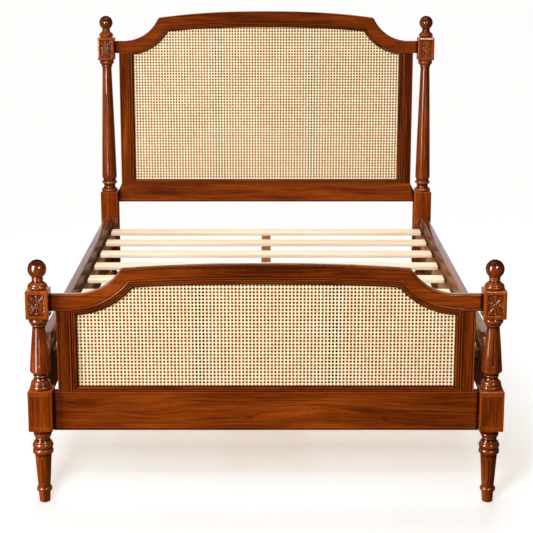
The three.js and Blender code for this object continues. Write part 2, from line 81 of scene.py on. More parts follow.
# Meshes
class Shell:
    """A closed surface: points, four-sided faces and caps, with the wear, painted light and dullness of each
    point.

    That value is above zero on rubbed places and painted highlights, and below zero where shade is painted in
    recesses.
    """

    def __init__(self, points, quads, caps=(), wear=0.0):
        self.points = np.asarray(points, float).reshape(-1, 3)
        self.quads = np.asarray(quads, np.int64).reshape(-1, 4)
        self.caps = [list(c) for c in caps]
        self.wear = np.zeros(len(self.points)) + np.ravel(wear)
        self.dull = 0.0
        if self.volume() < 0:
            self.quads = self.quads[:, ::-1]
            self.caps = [c[::-1] for c in self.caps]

    def volume(self):
        """Six times the signed volume, positive when the faces point out."""
        p = self.points - self.points.mean(0)
        total = 0.0
        for i in (1, 2):
            a, b, c = (p[self.quads[:, k]] for k in (0, i, i + 1))
            total += float(np.einsum("ij,ij->i", a, np.cross(b, c)).sum())
        for cap in self.caps:
            total += float((np.cross(p[cap[1:-1]], p[cap[2:]]) @ p[cap[0]]).sum())
        return total


def tube_quads(count, around):
    """The faces between rings of points that follow one another."""
    i, j = np.meshgrid(np.arange(count - 1) * around, np.arange(around), indexing="ij")
    k = (j + 1) % around
    return np.stack([i + j, i + k, i + around + k, i + around + j], -1).reshape(-1, 4)


def ring_stack(rings, wear=0.0):
    """A closed surface through rings of points, with a cap on the first and the last ring."""
    rings = np.asarray(rings, float)
    count, around = rings.shape[:2]
    last = (count - 1) * around
    return Shell(rings, tube_quads(count, around), (range(around)[::-1], range(last, last + around)), wear)


def number_of(name):
    """A steady number from a name, for the random draws of one piece."""
    total = 7
    for letter in name:
        total = (total * 31 + ord(letter)) % 100003
    return total


def store(mesh, name, values, kind="FLOAT", field="value"):
    """Writes values at the points of a mesh, for its material to read."""
    attribute = mesh.attributes.new(name, kind, "POINT")
    attribute.data.foreach_set(field, np.asarray(values, np.float32).ravel())


def add_grain(mesh, points, grain, name, bend=0.0):
    """Stores where each point lies in the timber: across, across and along the grain, in metres."""
    order = {"x": (1, 2, 0), "y": (0, 2, 1), "z": (0, 1, 2)}[grain]
    along = points[:, order] + np.random.default_rng(number_of(name)).uniform(-9.0, 9.0, 3)
    along[:, 1] += bend
    store(mesh, "grain", along, "FLOAT_VECTOR", "vector")


def smooth(mesh, angle):
    mesh.shade_smooth()
    mesh.set_sharp_from_angle(angle=math.radians(angle))


def place(mesh, name, material, node):
    """Puts a mesh in the scene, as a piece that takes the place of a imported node."""
    piece = bpy.data.objects.new(name, mesh)
    bpy.context.scene.collection.objects.link(piece)
    mesh.materials.append(material)
    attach(piece, "root")
    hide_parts(node)
    return piece


SHARP = 34.0              # edges that turn by more degrees than this stay sharp


def make_piece(node, shells, material, grain, part="", sharp=SHARP, tone=None, soft_last=False):
    """One piece from its shells. part names it where it is one of several for its node."""
    name = part or f"dressed_{node}"
    points = np.concatenate([s.points for s in shells]) * MM
    bases = np.cumsum([0] + [len(s.points) for s in shells])
    quads = np.concatenate([s.quads + base for s, base in zip(shells, bases)])
    caps = [np.array(cap) + base for s, base in zip(shells, bases) for cap in s.caps]
    totals = np.array([4] * len(quads) + [len(c) for c in caps], np.int32)
    loops = np.concatenate([quads.ravel(), *caps]).astype(np.int32)
    mesh = bpy.data.meshes.new(name)
    mesh.vertices.add(len(points))
    mesh.vertices.foreach_set("co", points.astype(np.float32).ravel())
    mesh.loops.add(len(loops))
    mesh.loops.foreach_set("vertex_index", loops)
    mesh.polygons.add(len(totals))
    mesh.polygons.foreach_set("loop_start", (np.cumsum(totals) - totals).astype(np.int32))
    mesh.update(calc_edges=True)
    mesh.validate()
    smooth(mesh, sharp)
    if soft_last:
        soften(mesh, bases[-2], np.concatenate(caps[-2:]))
    bend, shift = figure_and_shade(node, points)
    add_grain(mesh, points, grain, name, bend)
    store(mesh, "dull", np.concatenate([np.broadcast_to(s.dull, len(s.points)) for s in shells]))
    store(mesh, "wear", np.concatenate([s.wear for s in shells]))
    store(mesh, "tone", shift if tone is None else tone)
    return place(mesh, name, material, node)


def soften(mesh, first, rims):
    """Clears the sharp edges of a mesh from its point first on, but for those round its last caps."""
    ends = np.zeros(len(mesh.edges) * 2, np.int32)
    mesh.edges.foreach_get("vertices", ends)
    ends = ends.reshape(-1, 2)
    sharp = mesh.attributes["sharp_edge"].data
    flags = np.zeros(len(mesh.edges), bool)
    sharp.foreach_get("value", flags)
    flags[(ends >= first).all(1) & ~np.isin(ends, rims).all(1)] = False
    sharp.foreach_set("value", flags)


# Arched figure, knots and painted shade: middle x and z, reach along and across, bend of the grain, shift of
# the tone
FIGURE_AND_SHADE = {
    "foot_lower_rail": [
        (-350, 292, 150, 26, 20, 0.05), (-51, 290, 34, 13, 12, 0.02), (-51, 290, 11, 6, 0, -0.13),
        (380, 284, 30, 12, -11, 0.02), (380, 284, 10, 6, 0, -0.12), (-640, 262, 24, 12, 9, -0.05),
        (170, 318, 120, 24, -16, 0.05), (-600, 330, 90, 26, 14, -0.06), (560, 320, 160, 90, 8, 0.0)],
    "foot_crest_rail": [
        (0, 760, 330, 90, 0, -0.15), (-430, 680, 150, 90, 0, 0.08), (90, 752, 150, 22, 12, 0.0),
        (-300, 735, 110, 26, 14, 0.0)],
    # The stiles are darker, the right ones most: painted shade on the side away from the light.
    "foot_stile_right": [(630, 500, 90, 400, 0, -0.13)],
    "foot_stile_left": [(-630, 500, 90, 400, 0, -0.03)],
    "head_stile_right": [(630, 950, 90, 900, 0, -0.15)],
    "head_crest_rail": [(0, 1410, 380, 90, 0, -0.02), (-480, 1330, 150, 90, 0, 0.05)],
    "head_lower_rail": [(-220, 612, 130, 20, 14, 0.0), (260, 628, 120, 20, -12, 0.0)],
    "foot_post_left": [(-718, 315, 90, 70, 0, -0.06)],
    "foot_post_right": [(718, 315, 90, 70, 0, -0.03)],
}
# Painted shadow of the posts on the rails beside them: x of the place on either side, z, and reach along
for rail, (place_x, place_z, near) in {
        "foot_lower_rail": (679, 311, 5), "foot_crest_rail": (682, 665, 6),
        "head_lower_rail": (679, 620, 5), "head_crest_rail": (682, 1285, 6)}.items():
    FIGURE_AND_SHADE[rail] += [(side * place_x, place_z, near, 90, 0, -0.5) for side in (-1, 1)]


def figure_and_shade(node, points):
    """How far the figure of a piece bends its grain, in metres, and how far its figure and painted shade
    shift its tone.
    """
    bend, shift = np.zeros(len(points)), np.zeros(len(points))
    for x, z, along, across, arch, tone in FIGURE_AND_SHADE.get(node, ()):
        share = np.exp(-((points[:, 0] / MM - x) / along) ** 2 - ((points[:, 2] / MM - z) / across) ** 2)
        bend += arch * MM * share
        shift += tone * share
    return bend, shift


# Materials. A colour is given as it looks, red, green and blue from 0 to 255.
def linear(colour, share=1.0):
    """A colour as the shader wants it, or a share of it."""
    scaled = [c / 255.0 for c in colour]
    return [share * (c / 12.92 if c <= 0.04045 else ((c + 0.055) / 1.055) ** 2.4) for c in scaled] + [1.0]


class Value:
    """An output of a node, which takes plain arithmetic."""

    def __init__(self, nodes, socket):
        self.nodes, self.socket = nodes, socket

    def __add__(self, other):
        return self.nodes.math("ADD", self, other)

    def __sub__(self, other):
        return self.nodes.math("SUBTRACT", self, other)

    def __mul__(self, other):
        return self.nodes.math("MULTIPLY", self, other)


class Nodes:
    """A short way to add nodes to a material or a world and to join them."""

    def __init__(self, owner):
        owner.use_nodes = True
        self.owner, self.tree = owner, owner.node_tree

    def put(self, socket, value):
        if isinstance(value, Value):
            self.tree.links.new(value.socket, socket)
        else:
            socket.default_value = value

    def add(self, kind, output, inputs=(), **settings):
        """The output asked for, of a new node with these inputs and settings."""
        node = self.tree.nodes.new(f"ShaderNode{kind}")
        for key, value in settings.items():
            setattr(node, key, value)
        for key, value in dict(inputs).items():
            self.put(node.inputs[key], value)
        return Value(self, node.outputs[output])

    def read(self, name):
        """What the points of a mesh hold under a name."""
        return self.add("Attribute", "Vector" if name == "grain" else "Fac", attribute_name=name)

    def noise(self, vector, scale, detail=3.0, roughness=0.55, distortion=0.0):
        return self.add("TexNoise", "Fac", {"Vector": vector, "Scale": scale, "Detail": detail,
                                            "Roughness": roughness, "Distortion": distortion})

    def grained(self, stretch, *noise):
        """Noise that is drawn out along the grain."""
        vector = self.add("Mapping", "Vector", {"Vector": self.read("grain"), "Scale": (1.0, 1.0, stretch)})
        return self.noise(vector, *noise)

    def ramp(self, value, places, colours):
        ramped = self.add("ValToRGB", "Color", {"Fac": value})
        elements = ramped.socket.node.color_ramp.elements
        while len(elements) < len(places):
            elements.new(0.5)
        for element, position, colour in zip(elements, places, colours):
            element.position = position
            element.color = linear(colour)
        return ramped

    def math(self, operation, a, b, clamp=False):
        return self.add("Math", 0, {0: a, 1: b}, operation=operation, use_clamp=clamp)

    def mix(self, factor, a, b):
        return self.add("Mix", "Result", {"Factor": factor, "A": a, "B": b}, data_type="RGBA")

    def map_range(self, value, low, high, out_low, out_high):
        return self.add("MapRange", "Result", {"Value": value, "From Min": low, "From Max": high,
                                               "To Min": out_low, "To Max": out_high})

    def bump(self, height, strength, distance):
        return self.add("Bump", "Normal", {"Height": height, "Strength": strength, "Distance": distance})

    def along(self, axis, space="Object"):
        """How far a point of an object, or a direction in the world, reaches along an axis."""
        return self.add("SeparateXYZ", axis, {"Vector": self.add("TexCoord", space)})

    def mirrored(self):
        """One for rays that look by way of gloss or glass, and zero for others."""
        return self.math("MAXIMUM", self.add("LightPath", "Is Glossy Ray"),
                         self.add("LightPath", "Is Transmission Ray"))

    def show(self, shader):
        self.put(self.tree.nodes["Material Output"].inputs["Surface"], shader)
        return self.owner

    def finish(self, colour, roughness, normal, **others):
        inputs = self.tree.nodes["Principled BSDF"].inputs
        for key, value in {"Base_Color": colour, "Roughness": roughness, "Normal": normal, **others}.items():
            self.put(inputs[key.replace("_", " ")], value)
        return self.owner


WOOD_STOPS = (0.35, 0.49, 0.64)


def lacquered_wood(name, tones, edge, gloss=0.28, coat=0.9, inner=()):
    """Stained hardwood under lacquer: broad bands, fine streaks, short pores, painted shade in recesses, and
    worn edges with painted highlight.

    inner gives the three tones of the dull faces, where they differ.
    """
    n = Nodes(bpy.data.materials.new(name))
    wear, dull = n.read("wear"), n.read("dull")
    bands = n.grained(0.10, 16.0, 3.0, 0.55, 0.7)
    streaks = n.grained(0.035, 150.0, 4.0, 0.6, 0.25)
    fibres = n.grained(0.03, 620.0, 2.0, 0.6)
    pores = n.grained(0.045, 1500.0, 1.0, 0.5)
    tone = bands * 0.55 + streaks * 0.45 + (fibres - 0.5) * 0.22 + n.read("tone")
    wood = n.ramp(tone, WOOD_STOPS, tones)
    if inner:
        wood = n.mix(dull, wood, n.ramp(tone, WOOD_STOPS, inner))
    pore_mask = n.map_range(pores, 0.60, 0.72, 0.0, 0.55)
    wood = n.mix(pore_mask, wood, linear(tones[0], 0.25))
    # Painted shade: darker towards the darkest tone where the wear and painted light value is below zero.
    wood = n.mix(n.map_range(wear, -1.0, -0.12, 0.85, 0.0), wood, linear(tones[0], 0.22))
    # Rubbed edges and painted highlight: lighter towards the edge colour where the value is above zero.
    wood = n.mix(n.map_range(wear, 0.1, 1.0, 0.0, 0.75), wood, linear(edge))
    mottle = n.noise(n.read("grain"), 42.0, 3.0)
    roughness = n.map_range(mottle, 0.3, 0.7, gloss - 0.05, gloss + 0.09)
    shine = n.math("SUBTRACT", 1.0, dull, True)
    normal = n.bump(streaks * 0.5 + pore_mask * -0.9, 0.22, 0.0004)
    return n.finish(wood, roughness, normal, Coat_Weight=shine * coat, Specular_IOR_Level=shine * 0.08,
                    Coat_Roughness=0.05, Coat_IOR=1.45)


def bare_birch(name):
    """Planed birch: pale, with fine straight grain, faint bands and a few darker flecks."""
    n = Nodes(bpy.data.materials.new(name))
    bands = n.grained(0.05, 26.0, 3.0, 0.5, 0.6)
    streaks = n.grained(0.02, 240.0, 3.0, 0.6)
    flecks = n.grained(0.18, 420.0, 1.0, 0.5)
    wood = n.ramp(bands * 0.6 + streaks * 0.4, (0.33, 0.5, 0.67),
                  ((222, 192, 156), (240, 217, 186), (249, 234, 210)))
    wood = n.mix(n.map_range(flecks, 0.66, 0.76, 0.0, 0.45), wood, linear((186, 146, 104)))
    # Painted shade: darker where the wear and painted light value is below zero.
    wood = n.mix(n.map_range(n.read("wear"), -1.0, 0.0, 0.5, 0.0), wood, linear((190, 150, 108)))
    roughness = n.map_range(streaks, 0.3, 0.7, 0.46, 0.6)
    return n.finish(wood, roughness, n.bump(streaks, 0.25, 0.0003), Specular_IOR_Level=0.35)


def stained_board(name, dark, light, roughness=0.5):
    """A plain stained board, such as those behind the cane."""
    n = Nodes(bpy.data.materials.new(name))
    bands = n.grained(0.06, 22.0, 4.0, 0.6, 0.8)
    streaks = n.grained(0.03, 260.0, 3.0, 0.6)
    wood = n.ramp(bands * 0.55 + streaks * 0.45, (0.35, 0.65), (dark, light))
    rough = n.map_range(streaks, 0.3, 0.7, roughness - 0.06, roughness + 0.1)
    return n.finish(wood, rough, n.bump(streaks, 0.25, 0.0004), Specular_IOR_Level=0.03)


def rattan(name):
    """Split cane: a cream skin with length-wise fibres, each strand in its own tone."""
    n = Nodes(bpy.data.materials.new(name))
    patches = n.grained(1.0, 38.0, 3.0, 0.6)
    fibres = n.noise(n.read("grain"), 900.0, 2.0, 0.6)
    skin = n.ramp(n.read("tone") * 0.6 + patches * 0.4, (0.0, 0.2, 0.5, 0.8),
                  ((214, 168, 104), (238, 206, 152), (253, 234, 194), (255, 249, 230)))
    skin = n.mix(n.map_range(fibres, 0.6, 0.78, 0.0, 0.2), skin, linear((228, 190, 142)))
    roughness = n.map_range(patches, 0.3, 0.7, 0.34, 0.5)
    return n.finish(skin, roughness, n.bump(fibres, 0.2, 0.0002), Specular_IOR_Level=0.4)


def painted_steel(name, dark, light, rubbed, metallic):
    """Painted steel with a faint mottle and rubbed edges."""
    n = Nodes(bpy.data.materials.new(name))
    mottle = n.noise(n.add("TexCoord", "Object"), 90.0, 4.0, 0.6)
    paint = n.ramp(mottle, (0.35, 0.65), (dark, light))
    paint = n.mix(n.map_range(n.read("wear"), 0.2, 1.0, 0.0, 0.7), paint, linear(rubbed))
    roughness = n.map_range(mottle, 0.3, 0.7, 0.32, 0.5)
    return n.finish(paint, roughness, n.bump(mottle, 0.15, 0.0003), Metallic=metallic)


# Colour of rubbed edges, also used as painted highlight on lit edges and strips.
WORN_AND_LIT_EDGE = (176, 84, 22)
MAHOGANY = lacquered_wood("mahogany", ((62, 21, 4), (110, 45, 9), (152, 70, 17)), WORN_AND_LIT_EDGE)
PANEL_WOOD = lacquered_wood("panel_wood", ((66, 23, 4), (110, 45, 9), (148, 67, 16)), WORN_AND_LIT_EDGE, coat=0.7)
RAIL_WOOD = lacquered_wood("rail_wood", ((66, 26, 8), (106, 50, 18), (142, 74, 28)), (168, 90, 40),
                           gloss=0.36, inner=((68, 38, 18), (102, 62, 34), (134, 90, 56)))
BIRCH = bare_birch("birch")
BACK_BOARD = stained_board("back_board", (104, 30, 4), (152, 54, 9))
# The battens are near-black partly from their stain and partly as painted shade in the gaps between the back
# boards.
DARK_BATTEN = stained_board("dark_batten", (16, 3, 1), (28, 7, 3), 0.8)
RAW_CLEAT = stained_board("raw_cleat", (116, 78, 50), (160, 118, 82), 0.72)
CANE = rattan("cane")
LEG_STEEL = painted_steel("leg_steel", (48, 42, 38), (84, 74, 66), (150, 138, 124), 0.55)
BRACKET_STEEL = painted_steel("bracket_steel", (84, 36, 13), (116, 54, 20), (168, 124, 88), 0.1)


# Turned work. A profile is a list of (radius, height), from the bottom up.
def bulge(z0, z1, rim, belly, steps=9):
    """A torus: half an ellipse that swells from the rim to the belly."""
    angles = np.linspace(-QUARTER, QUARTER, steps)
    return [(rim + (belly - rim) * math.cos(a), (z0 + z1) / 2 + (z1 - z0) / 2 * math.sin(a)) for a in angles]


def curve(start, end, hollow, steps=7):
    """A quarter ellipse from start to end. hollow=True leaves the start along z, False along r."""
    (r0, z0), (r1, z1) = start, end
    shares = [(1 - math.cos(a), math.sin(a)) for a in np.linspace(0, QUARTER, steps)]
    if not hollow:
        shares = [(late, early) for early, late in shares]
    return [(r0 + (r1 - r0) * r, z0 + (z1 - z0) * z) for r, z in shares]


def straight(start, end, steps):
    return [tuple(np.array(start) + (np.array(end) - np.array(start)) * t) for t in np.linspace(0, 1, steps)]


def raised(profile, base):
    return [(radius, base + height) for radius, height in profile]


def travelled(line):
    """How far along a polyline each of its points lies."""
    return np.concatenate([[0], np.cumsum(np.hypot(*np.diff(line, axis=0).T))])


WEAR_AND_LIGHT_WINDOW = 5.0         # length of profile that its smoothed line averages
WEAR_AND_LIGHT_SCALE = 0.7          # height above that line that counts as full wear, and below it as full painted shade


def wear_and_painted_light_of(profile):
    """Painted shade in the recesses of a profile, below zero, and its proud edges above zero, lighter as
    rubbed wear and painted highlight, against its own smoothed line.
    """
    line = np.array(profile, float)
    at = travelled(line)
    forward = np.gradient(line, axis=0)
    outward = np.column_stack([forward[:, 1], -forward[:, 0]])
    outward /= np.maximum(np.hypot(*outward.T), 1e-9)[:, None]
    weights = np.exp(-((at - at[:, None]) / WEAR_AND_LIGHT_WINDOW) ** 2) * np.gradient(at)
    middle = weights @ line / weights.sum(1)[:, None]
    wear = ((line - middle) * outward).sum(1) / WEAR_AND_LIGHT_SCALE
    return np.clip(np.where(wear > 0, 0.3 * wear, wear), -1, 1)


GROOVE_NOSE = 3.6         # radius of the cutter that makes a stopped flute
GROOVE_DEPTH = 1.9
LEG_FLUTE = (66.0, 104.0)            # how far from the floor and from the leg's top its flutes end
COLUMN_FLUTE = (0.16, 0.76)          # where those of a column end, as shares of its shaft
JOINT_REACH = 5.0                    # how far a turned piece is darkened from the face of a block
FLUTE_ANGLES = (-13, -10.5, -8.5, -6.5, -4.5, -2.2, 0, 2.2, 4.5, 6.5, 8.5, 10.5, 13, *np.linspace(20, 70, 8))


def turned(profile, x, y, flute=None, steps=64):
    """A turned shell. flute=(z0, z1) cuts four stopped flutes between those heights."""
    radius, height = np.array(profile, float).T
    if flute is None:
        angles = np.linspace(0, 2 * math.pi, steps, endpoint=False)
        depth = np.zeros((len(profile), steps))
    else:
        angles = np.concatenate([np.radians(FLUTE_ANGLES) + k * QUARTER for k in range(4)])
        aside = radius[:, None] * np.sin((angles + QUARTER / 2) % QUARTER - QUARTER / 2)
        beyond = np.maximum(np.maximum(flute[0] - height, height - flute[1]), 0)[:, None]
        nose = np.sqrt(np.clip(GROOVE_NOSE ** 2 - np.hypot(aside, beyond) ** 2, 0, None))
        depth = np.clip(nose - (GROOVE_NOSE - GROOVE_DEPTH), 0, None)
    # The flutes get painted shade, darker with their depth, on top of the painted light of the profile.
    wear = wear_and_painted_light_of(profile)[:, None] - np.clip(depth / GROOVE_DEPTH, 0, 1) * 0.5
    r = radius[:, None] - depth
    z = np.repeat(height[:, None], len(angles), 1)
    rings = np.stack([x + r * np.cos(angles), y + r * np.sin(angles), z], -1)
    return ring_stack(rings, np.clip(wear, -1, 1))


def shade_joint(shell, level, reach):
    """Darkens a turned shell near the face that it stands on or runs up to."""
    near = np.clip(1 - np.abs(shell.points[:, 2] - level) / reach, 0, 1)
    shell.wear = np.clip(shell.wear - 1.8 * near, -1, 1)


def leg_profile(top):
    """Foot, ring, tapered leg, two tori, a small fillet and the collar under the block."""
    return [
        (15.4, 0.0), (16.6, 1.0), (17.2, 3.0), *straight((17.4, 6.0), (18.9, 30.0), 5),
        *bulge(32.0, 36.0, 18.8, 20.4, 5), *bulge(36.5, 51.5, 19.8, 25.2), *bulge(52.0, 55.0, 19.6, 20.8, 4),
        *straight((19.6, 58.0), (21.0, 72.0), 8), *straight((21.1, 74.0), (25.0, top - 112.0), 7),
        *raised([
            *straight((25.05, -110.0), (26.2, -95.0), 8), *curve((26.2, -88.0), (28.0, -84.5), True, 4),
            *bulge(-84.0, -65.5, 27.4, 33.2), (27.2, -64.8), *bulge(-64.0, -46.0, 27.4, 33.4),
            *bulge(-45.6, -41.5, 27.0, 29.2, 5), *curve((26.2, -41.0), (22.2, -33.5), False),
            *bulge(-32.5, -28.5, 22.0, 24.0, 5), *curve((22.6, -28.0), (27.6, -20.0), False),
            *bulge(-19.5, -14.5, 27.6, 29.6, 5), *curve((28.2, -14.0), (33.5, -5.5), True),
            *bulge(-5.0, 0.6, 33.6, 35.0, 6)], top),
    ]


# What stands on the lower block, up to the chamfer under the shaft
FOOT_TIERS = [
    (33.0, -0.6), *bulge(0.0, 13.0, 31.4, 34.6), (30.8, 13.4), *bulge(13.8, 19.6, 30.4, 32.2, 6),
    (30.9, 20.2), (31.2, 22.6), (30.0, 25.0), (28.1, 27.2), (25.8, 29.6), (23.4, 32.4), (21.7, 35.4),
    (21.0, 38.6), (21.2, 41.6), *bulge(42.2, 47.2, 22.0, 23.9, 6), (22.4, 48.0), (23.0, 50.3), (23.6, 50.8),
]
HEAD_TIERS = [
    (33.0, -0.6), *bulge(0.0, 13.5, 33.0, 36.0), (31.8, 14.0), *curve((30.8, 14.6), (25.6, 22.0), False, 6),
    (25.2, 25.0), *curve((25.4, 28.0), (31.0, 36.0), True, 6), *bulge(36.4, 46.6, 31.4, 34.4, 8),
    (29.6, 47.0), *bulge(47.6, 52.0, 28.2, 29.6, 5), (27.4, 52.6), (27.6, 54.4), (28.0, 55.0),
]


def flute_range(end):
    """Where the flutes of a column start and stop."""
    start, stop = end.shaft[:2]
    return [start + share * (stop - start) for share in COLUMN_FLUTE]


def column_profile(end):
    """The tiers, the tapered shaft with its slight swell, and the neck under the cap block."""
    start, stop, foot_radius, neck_radius = end.shaft
    length = stop - start
    tiers = raised(FOOT_TIERS if end is FOOT else HEAD_TIERS, end.block_top)
    low, high = flute_range(end)
    round_ends = [z for d in (-5.2, -4.2, -3.2, -2.0, -0.8, 0.8) for z in (low + d, high - d)]
    stations = {*np.linspace(0.02, 1.0, 24), *((z - start) / length for z in round_ends)}
    shaft = [(foot_radius + (neck_radius - foot_radius) * t + 0.6 * math.sin(math.pi * t), start + length * t)
             for t in sorted(stations)]
    return [
        *tiers[:-1], *straight(tiers[-1], (foot_radius - 0.7, start - 0.9), 5),
        (foot_radius, start + 0.6), *shaft,
        *curve((neck_radius, stop + 1.0), (neck_radius + 2.2, stop + 5.0), True, 5),
        *raised([
            *bulge(-27.5, -22.6, neck_radius + 1.8, neck_radius + 4.6, 6),
            *curve((neck_radius + 2.6, -22.2), (27.4, -18.6), False, 5),
            *bulge(-18.0, -2.6, 28.2, 31.8), (28.6, -2.2), (29.4, 0.6)], end.cap_bottom),
    ]


# The finial: torus, bell, fillets, neck and ball, from the top of the cap block up
BALL_Z, BALL_RADIUS = 64.5, 29.8
BALL_FOOT = 38.8
CROWN_DULL = (82.0, 9.0)  # height where the lacquer starts to dull, and over how much more it does so
CROWN_SHADE = (64.0, 26.0)            # the same for the painted shade that darkens the ball towards its crown
FINIAL = [
    (25.4, GAP), (26.6, 1.4), (27.4, 3.0), *bulge(3.6, 12.4, 28.6, 32.2), (29.4, 12.9),
    *bulge(13.2, 15.6, 29.2, 30.4, 5), (28.9, 16.2), (28.3, 17.2), (24.4, 20.1), (20.5, 23.1), (18.2, 25.5),
    (17.0, 26.9), *bulge(27.6, 32.0, 16.8, 18.2, 6), (16.0, 32.4), *bulge(32.8, 38.2, 16.2, 18.6, 7),
    (15.9, BALL_FOOT),
    *[(BALL_RADIUS * math.cos(a), BALL_Z + BALL_RADIUS * 1.02 * math.sin(a))
      for a in np.linspace(-0.98, QUARTER - 0.012, 34)],
]


# Carved blocks. Faces are numbered by the way they look: 0 is +X, 1 is +Y, 2 is -X and 3 is -Y.
BEVEL = 2.0
BLOCK_EASE = ((0.0, 0.9), (0.35, 0.35), (1.0, 0.0))     # shares of the bevel, up the block and into it
CARVED_STEP = 0.6         # between samples of the carving
CARVED_REACH = 6          # samples to each side that a recess is judged against
FIELD_DEPTH = 2.6
FIELD_HALF = 25.5
FIELD_MARGIN = 11.5
FIELD_RIM = 0.7           # how far the fine samples run on past the field
PANEL_HALF = 29.5
PANEL_RISE = 20.0         # bottom of the scratched panel, above the leg


def smoothed(field):
    """A running mean over the rows and columns of a field."""
    for axis in (0, 1):
        pad = [(CARVED_REACH, CARVED_REACH) if k == axis else (0, 0) for k in (0, 1)]
        padded = np.pad(field, pad, mode="edge")
        field = np.lib.stride_tricks.sliding_window_view(padded, 2 * CARVED_REACH + 1, axis).mean(-1)
    return field


def block_shell(x, y, half, z0, z1, faces, fine_u, fine_z, relief, field):
    """A square block with eased edges and a sunk field on some of its faces.

    relief(u, v, half_w, half_h) gives how far they sink. field is its half width, its bottom and its top.
    """
    flat = half - BEVEL
    levels = [(z0 + up * BEVEL, inset * BEVEL) for up, inset in BLOCK_EASE]
    levels += [(z, 0.0) for z in fine_z if z0 + BEVEL < z < z1 - BEVEL]
    levels += [(z1 - up * BEVEL, inset * BEVEL) for up, inset in reversed(BLOCK_EASE)]
    half_w, low, high = field
    v = np.array([z for z, _ in levels])[:, None] - (low + high) / 2
    sunk = relief(fine_u, v, half_w, (high - low) / 2)
    # Painted shade in the hollows of the carving and painted highlight on its ridges, from how far each
    # sample lies below or above its surroundings.
    carved = np.clip((smoothed(sunk) - sunk) / 0.55, -1, 0.45)
    corner = np.array([(flat + BEVEL * math.cos(a), flat + BEVEL * math.sin(a))
                       for a in (math.pi / 6, math.pi / 4, math.pi / 3)])
    plain_u = np.linspace(-flat, flat, 5)
    even = np.zeros(len(plain_u))
    rings, wear = [], []
    for row, (z, inset) in enumerate(levels):
        shrink = (half - inset) / half
        ring, marks = [], []
        for k in range(4):
            normal = (math.cos(k * QUARTER), math.sin(k * QUARTER))
            turn = np.array([normal, (-normal[1], normal[0])])
            u, sink, mark = (fine_u, sunk[row], carved[row]) if k in faces else (plain_u, even, even)
            ring += [np.column_stack([half - inset - sink, u * shrink]) @ turn, (corner * shrink) @ turn]
            marks += [mark + (0.5 if inset else 0.0), np.full(len(corner), 0.9)]
        ring = np.concatenate(ring) + (x, y)
        rings.append(np.column_stack([ring, np.full(len(ring), z)]))
        wear.append(np.concatenate(marks))
    return ring_stack(np.array(rings), np.clip(wear, -1, 1))


def leaf(u, v, angle, length, width, start=4.0):
    """Height of one lancet leaf with a cut mid rib, from 0 outside it to 1 on its crown."""
    along = u * math.cos(angle) + v * math.sin(angle) - start
    aside = -u * math.sin(angle) + v * math.cos(angle)
    t = np.clip(along / length, 0, 1)
    reach = width * np.sin(np.pi * t ** 0.85) ** 0.75 + 1e-6
    body = np.clip(1 - (aside / reach) ** 2, 0, 1) ** 0.9
    rib = 0.8 * np.clip(1 - np.abs(aside) / 1.7, 0, 1) * np.clip(np.sin(np.pi * t) * 2.2, 0, 1)
    return np.where((along > 0) & (along < length), body - rib, 0)


def rosette_height(u, v, half_w, half_h):
    """The carved field: four long diagonal leaves, rays between them, buds, beads and a pierced boss."""
    diagonal = math.atan2(half_h, half_w)
    reach = math.hypot(half_w, half_h) - 6.5
    raised_parts = [leaf(u, v, angle, reach, 3.9, 3.0)
                    for angle in (diagonal, math.pi - diagonal, diagonal - math.pi, -diagonal)]
    raised_parts += [0.8 * leaf(u, v, angle, half_h - 12.5, 3.0) for angle in (QUARTER, -QUARTER)]
    for angle in (0, math.pi):
        raised_parts.append(0.72 * leaf(u, v, angle, half_w - 8.5, 2.8))
        raised_parts += [0.66 * leaf(u, v, angle + spread, half_w - 7.5, 2.4) for spread in (0.42, -0.42)]
    for side in (-1, 1):
        raised_parts.append(np.clip(1 - np.hypot(u, v - side * (half_h - 5.6)) / 4.2, 0, 1) ** 0.5)
        for dot in np.arange(-half_h + 13.0, half_h - 12.0, 6.4):
            bead = np.clip(1 - np.hypot(u - side * (half_w - 2.9), v - dot) / 2.3, 0, 1) ** 0.5
            raised_parts.append(0.75 * bead)
    height = np.maximum(np.max(raised_parts, axis=0), 0)
    radius = np.hypot(u, v)
    boss = np.clip(1 - ((radius - 3.4) / 2.4) ** 2, 0, 1) ** 0.5
    return np.where(radius < 5.8, boss, height)


def cap_relief(u, v, half_w, half_h):
    """A sunk field with the carving left standing in it."""
    wall = np.clip(np.minimum(half_w - np.abs(u), half_h - np.abs(v)) / 1.2, 0, 1)
    return wall * FIELD_DEPTH * (1 - 0.94 * rosette_height(u, v, half_w, half_h))


def panel_relief(u, v, half_w, half_h):
    """A framed panel line scratched into a face."""
    outside = np.maximum(np.abs(u) - half_w, np.abs(v) - half_h)
    return np.clip(1 - np.abs(outside) / 1.7, 0, 1) + 0.5 * np.clip(-outside / 5.0, 0, 1)


def around(*places):
    """Close samples about each place, for a line that is cut there."""
    return [p + d for p in places for d in (-3.5, -1.6, -0.8, 0.0, 0.8, 1.6, 3.5)]


